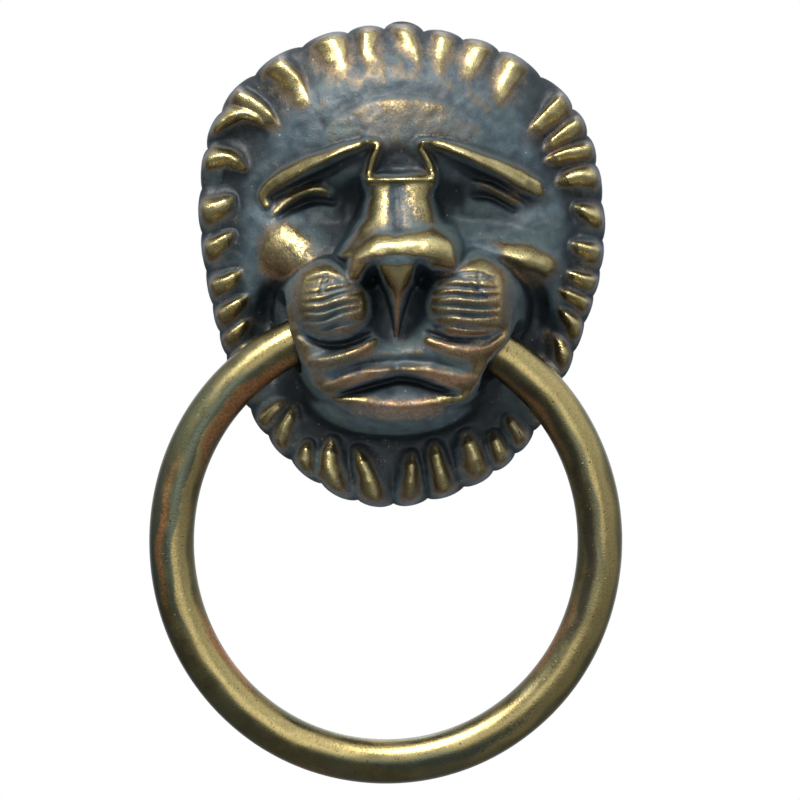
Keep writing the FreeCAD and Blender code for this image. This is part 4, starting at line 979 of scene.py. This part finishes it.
def ring_path():
    """Points along the rod's middle, from the left end round the bottom to the right end."""
    a, b, big = RING_HALF_WIDTH, RING_HALF_HEIGHT, RING_SIDE_ARC
    small = (big * big - (big - a) ** 2 - b * b) / (2 * (big - b))
    join = math.atan2(b - small, big - a)
    up, down = (RING_X, RING_Z + b - small), (RING_X, RING_Z - b + small)
    west, east = (RING_X + big - a, RING_Z), (RING_X - big + a, RING_Z)
    end_right = math.acos((ROD_END - up[0]) / small)
    end_left = math.acos((-ROD_END - up[0]) / small)
    arcs = [(up, small, end_left, math.pi - join), (west, big, math.pi - join, math.pi + join),
            (down, small, math.pi + join, 2 * math.pi - join), (east, big, -join, join),
            (up, small, join, end_right)]
    pts, outs = [], []
    for mid, radius, start, end in arcs:
        count = max(8, int(radius * abs(end - start) / 0.3))
        turn = np.linspace(start, end, count, endpoint=False)
        if mid is arcs[-1][0] and start == join:
            turn = np.linspace(start, end, count)
        spoke = np.column_stack([np.cos(turn), np.sin(turn)])
        pts.append(np.array(mid) + radius * spoke)
        outs.append(spoke)
    return np.vstack(pts), np.vstack(outs)


def build_ring():
    pts, outs = ring_path()
    n, m = len(pts), 64
    turn = np.linspace(0, 2 * np.pi, m, endpoint=False)
    seat = np.array([0, HINGE_Y, 0])
    rows = []
    # hand-finished rod: its radius wanders a little, and its two ends are chamfered
    share = np.linspace(0, 1, n)
    for k in range(n):
        wander = 0.015 * np.sin(2 * turn + 9 * share[k]) + 0.012 * np.sin(47 * share[k] + turn)
        r = ROD_R - 0.03 + wander
        out = np.array([outs[k, 0], 0, outs[k, 1]])
        mid = np.array([pts[k, 0], 0, pts[k, 1]]) + seat
        spoke = np.outer(np.cos(turn), out) + np.outer(np.sin(turn), (0, 1, 0))
        if k in (0, n - 1):
            rows.append(mid + (r - 0.4)[:, None] * spoke)
            inward = (pts[1] - pts[0]) if k == 0 else (pts[-2] - pts[-1])
            inward = inward / np.hypot(*inward) * 0.4
            ring = mid + np.array([inward[0], 0, inward[1]]) + r[:, None] * spoke
            if k == 0:
                rows.append(ring)
            else:
                rows.insert(-1, ring)
        elif 2 <= k < n - 2:
            rows.append(mid + r[:, None] * spoke)
    count = len(rows)
    points = np.vstack(rows)
    ring = new_object("ring_rod", points, tube_faces(count, m, False))
    along = np.repeat(np.linspace(0, 1, count), m)
    around = np.tile(turn, count)
    x, _, z = points.T
    # where the rod is, in degrees about the ring's middle, and how far towards its outer side
    way = np.degrees(np.arctan2(z - RING_Z, x - RING_X)) % 360
    out = np.cos(around) + 0.10 * np.sin(7 * np.radians(way)) + 0.06 * np.sin(23 * np.radians(way) + 1)
    tables = []
    for table in (RING_WORN_AND_LIT, RING_COPPERY, RING_GREEN, RING_SHADED):
        total = np.zeros(len(x))
        for gain, at, reach, side, wide in table:
            far = (way - at + 180) % 360 - 180
            total += gain * np.exp(-(far / reach) ** 2 - ((out - side) / wide) ** 2)
        tables.append(np.clip(total, 0, 1))
    seamless = np.abs((around / (2 * np.pi) - 0.25 + 0.5) % 1.0 - 0.5) * 2
    one = np.ones(len(x))
    for name, columns in (("finish", (*tables[:3], one)), ("rod", (along, seamless, tables[3], one))):
        data = ring.data.attributes.new(name, "FLOAT_COLOR", "POINT")
        data.data.foreach_set("color", np.column_stack(columns).astype(np.float32).ravel())
    finish_piece(ring, "ring", "ring", ring_material())


# ---------------------------------------------------------------- studs, washers and nuts
def build_stud(name, z):
    """Headless stud: plain shank, a rolled thread at each end, chamfered tips."""
    m = 40
    turn = np.linspace(0, 2 * np.pi, m, endpoint=False)
    fine = THREAD_PITCH / 10
    stations = list(np.arange(STUD_FRONT, SHANK_FRONT - 0.2, fine))
    stations += list(np.arange(SHANK_FRONT - 0.2, SHANK_FRONT + 1.0, fine))
    stations += list(np.linspace(SHANK_FRONT + 1.2, SHANK_BACK - 1.2, 12))
    stations += list(np.arange(SHANK_BACK - 1.0, STUD_END, fine)) + [STUD_END]
    rows = []
    for y in stations:
        phase = (y / THREAD_PITCH - turn / (2 * np.pi)) % 1.0
        tooth = np.clip(1.35 - 3.2 * np.abs(phase - 0.5), 0, 1)
        thread = 1.62 + 0.35 * tooth
        into = min(max(y - SHANK_FRONT, 0), max(SHANK_BACK - y, 0))
        share = min(1.0, into / 0.8)
        r = thread * (1 - share) + (SHANK_R - 0.02) * share
        r = np.minimum(r, 1.35 + (y - STUD_FRONT))
        r = np.minimum(r, 1.27 + (STUD_END - y))
        rows.append(np.column_stack([r * np.sin(turn), np.full(m, y), z + r * np.cos(turn)]))
    return new_object(name, np.vstack(rows), tube_faces(len(rows), m, False))


def build_washer(name, z):
    """Stamped washer: the punch rounds one edge of rim and hole."""
    rim = [(DOOR, WASHER_R - 0.05), (DOOR + 0.05, WASHER_R), (DOOR + 0.55, WASHER_R),
           (DOOR + 0.72, WASHER_R - 0.06), (DOOR + WASHER_T, WASHER_R - 0.22)]
    hole = [(DOOR - 0.1, WASHER_HOLE_R), (DOOR + 0.6, WASHER_HOLE_R),
            (DOOR + WASHER_T + 0.05, WASHER_HOLE_R + 0.16)]
    washer = lathe(name, rim, (0, 0, z), segments=72)
    combine(washer, lathe("hole", hole, (0, 0, z), segments=72), "DIFFERENCE")
    return washer


def build_nut(name, z):
    """Hexagon nut, both faces turned to a circle, bore countersunk."""
    front = DOOR + WASHER_T
    corner = NUT_FLATS / math.sqrt(3)
    hexagon = [(corner * math.cos(t), z + corner * math.sin(t)) for t in np.radians(np.arange(30, 390, 60))]
    nut = prism(name, hexagon, front, front + NUT_T)
    flat = NUT_FLATS / 2 * 0.97
    wide = corner + 0.6
    rise = (wide - flat) * math.tan(math.radians(30))
    turned = [(front - 0.001, flat), (front + rise, wide), (front + NUT_T - rise, wide),
              (front + NUT_T + 0.001, flat)]
    combine(nut, lathe("turned", turned, (0, 0, z)), "INTERSECT")
    bore = [(front - 0.1, TAPPED_R + 0.45), (front + 0.35, TAPPED_R), (front + NUT_T - 0.35, TAPPED_R),
            (front + NUT_T + 0.1, TAPPED_R + 0.45)]
    combine(nut, lathe("bore", bore, (0, 0, z), segments=48), "DIFFERENCE")
    return nut


def build_fixings():
    steel = steel_material()
    for name, z in (("upper", STUD_Z), ("lower", -STUD_Z)):
        for make, kind in ((build_stud, "stud"), (build_washer, "washer"), (build_nut, "nut")):
            piece = make(name + "_" + kind + "_steel", z)
            finish_piece(piece, name + "_" + kind, "head", steel, 28.0)


# ---------------------------------------------------------------- stage, light and camera
def plain_material(name, color, roughness):
    mat = bpy.data.materials.new(name)
    mat.use_nodes = True
    shader = mat.node_tree.nodes["Principled BSDF"]
    shader.inputs["Base Color"].default_value = (*color, 1.0)
    shader.inputs["Roughness"].default_value = roughness
    return mat


def softbox(name, place, aim, width, height, watts, color):
    lamp = bpy.data.lights.new(name, "AREA")
    lamp.shape = "RECTANGLE"
    lamp.size = width
    lamp.size_y = height
    lamp.energy = watts
    lamp.color = color
    obj = bpy.data.objects.new(name, lamp)
    bpy.context.scene.collection.objects.link(obj)
    obj.location = place
    obj.rotation_euler = (Vector(aim) - Vector(place)).to_track_quat("-Z", "Y").to_euler()
    obj.visible_camera = False


def build_world():
    """Even white to the eye; to the metal, a bright ceiling over a darker room."""
    world = bpy.data.worlds.new("studio")
    bpy.context.scene.world = world
    world.use_nodes = True
    nodes, links = world.node_tree.nodes, world.node_tree.links
    nodes.clear()
    out = nodes.new("ShaderNodeOutputWorld")
    mix = nodes.new("ShaderNodeMixShader")
    path = nodes.new("ShaderNodeLightPath")
    plain = nodes.new("ShaderNodeBackground")
    room = nodes.new("ShaderNodeBackground")
    plain.inputs["Color"].default_value = (1.0, 1.0, 1.0, 1.0)
    coord = nodes.new("ShaderNodeTexCoord")
    parts = nodes.new("ShaderNodeSeparateXYZ")
    ramp = nodes.new("ShaderNodeValToRGB")
    shade = nodes.new("ShaderNodeMath")
    shade.operation = "MULTIPLY"
    dim = nodes.new("ShaderNodeMix")
    dim.data_type = "RGBA"
    dim.blend_type = "MULTIPLY"
    dim.inputs["Factor"].default_value = 1.0
    colors = [s for s in dim.inputs if s.type == "RGBA"]

    def step(axis, start, low, high, smooth=True):
        """A value that goes from low to high while an axis goes from start to 1."""
        node = nodes.new("ShaderNodeMapRange")
        if smooth:
            node.interpolation_type = "SMOOTHSTEP"
        node.inputs["From Min"].default_value = start
        node.inputs["To Min"].default_value = low
        node.inputs["To Max"].default_value = high
        links.new(parts.outputs[axis], node.inputs["Value"])
        return node.outputs["Result"]

    links.new(coord.outputs["Generated"], parts.inputs[0])
    # darker towards the floor, behind the model and on its left
    links.new(step("Z", -1.0, 0.0, 1.0, False), ramp.inputs["Fac"])
    stops = ((0.0, 0.26), (0.34, 0.24), (0.47, 0.36), (0.60, 0.56), (0.85, 1.05))
    elements = ramp.color_ramp.elements
    while len(elements) < len(stops):
        elements.new(0.5)
    for element, (at, level) in zip(elements, stops):
        element.position = at
        element.color = (level * 0.94, level, level * 1.08, 1.0)
    links.new(step("Y", 0.0, 1.0, 0.4), shade.inputs[0])
    links.new(step("X", -1.0, 0.8, 1.25), shade.inputs[1])
    links.new(ramp.outputs["Color"], colors[0])
    links.new(shade.outputs[0], colors[1])
    links.new([s for s in dim.outputs if s.type == "RGBA"][0], room.inputs["Color"])
    # the pale sweep behind the model shows as a thin light edge on every rounded side
    links.new(step("Y", 0.55, 1.0, 4.0), room.inputs["Strength"])
    links.new(path.outputs["Is Camera Ray"], mix.inputs["Fac"])
    links.new(room.outputs[0], mix.inputs[1])
    links.new(plain.outputs[0], mix.inputs[2])
    links.new(mix.outputs[0], out.inputs["Surface"])


def build_stage():
    half, drop = 350.0, -130.0
    corners = [(-half, -half, drop), (half, -half, drop), (half, half, drop), (-half, half, drop)]
    floor = new_object("floor", corners, [(0, 1, 2, 3)])
    floor.data.materials.append(plain_material("floor_pale", (0.85, 0.85, 0.84), 0.8))
    floor.visible_glossy = False
    build_world()
    head = (0.0, 0.0, -0.01)
    softbox("key", (-0.22, -0.45, 0.60), head, 0.40, 0.30, 9.0, (1.0, 0.98, 0.95))
    softbox("front", (0.10, -1.10, 0.20), head, 0.80, 0.60, 2.0, (0.95, 0.98, 1.0))
    softbox("back", (0.0, 0.70, 0.60), head, 0.40, 0.40, 1.0, (1.0, 1.0, 1.0))

    camera = bpy.data.cameras.new("camera")
    camera.lens = 600.0
    camera.sensor_width = 36.0
    # the picture's width at the model, in metres; the long lens keeps the photo's flat perspective
    width = 0.1067
    obj = bpy.data.objects.new("camera", camera)
    bpy.context.scene.collection.objects.link(obj)
    obj.location = (-0.0004, -0.006 - width * camera.lens / camera.sensor_width, -0.0183)
    obj.rotation_euler = (math.radians(90), 0, 0)
    camera.clip_start = 0.01
    camera.clip_end = 10.0
    bpy.context.scene.camera = obj
    bpy.context.scene.view_settings.view_transform = "Standard"


build_head()
build_ring()
build_fixings()
build_stage()
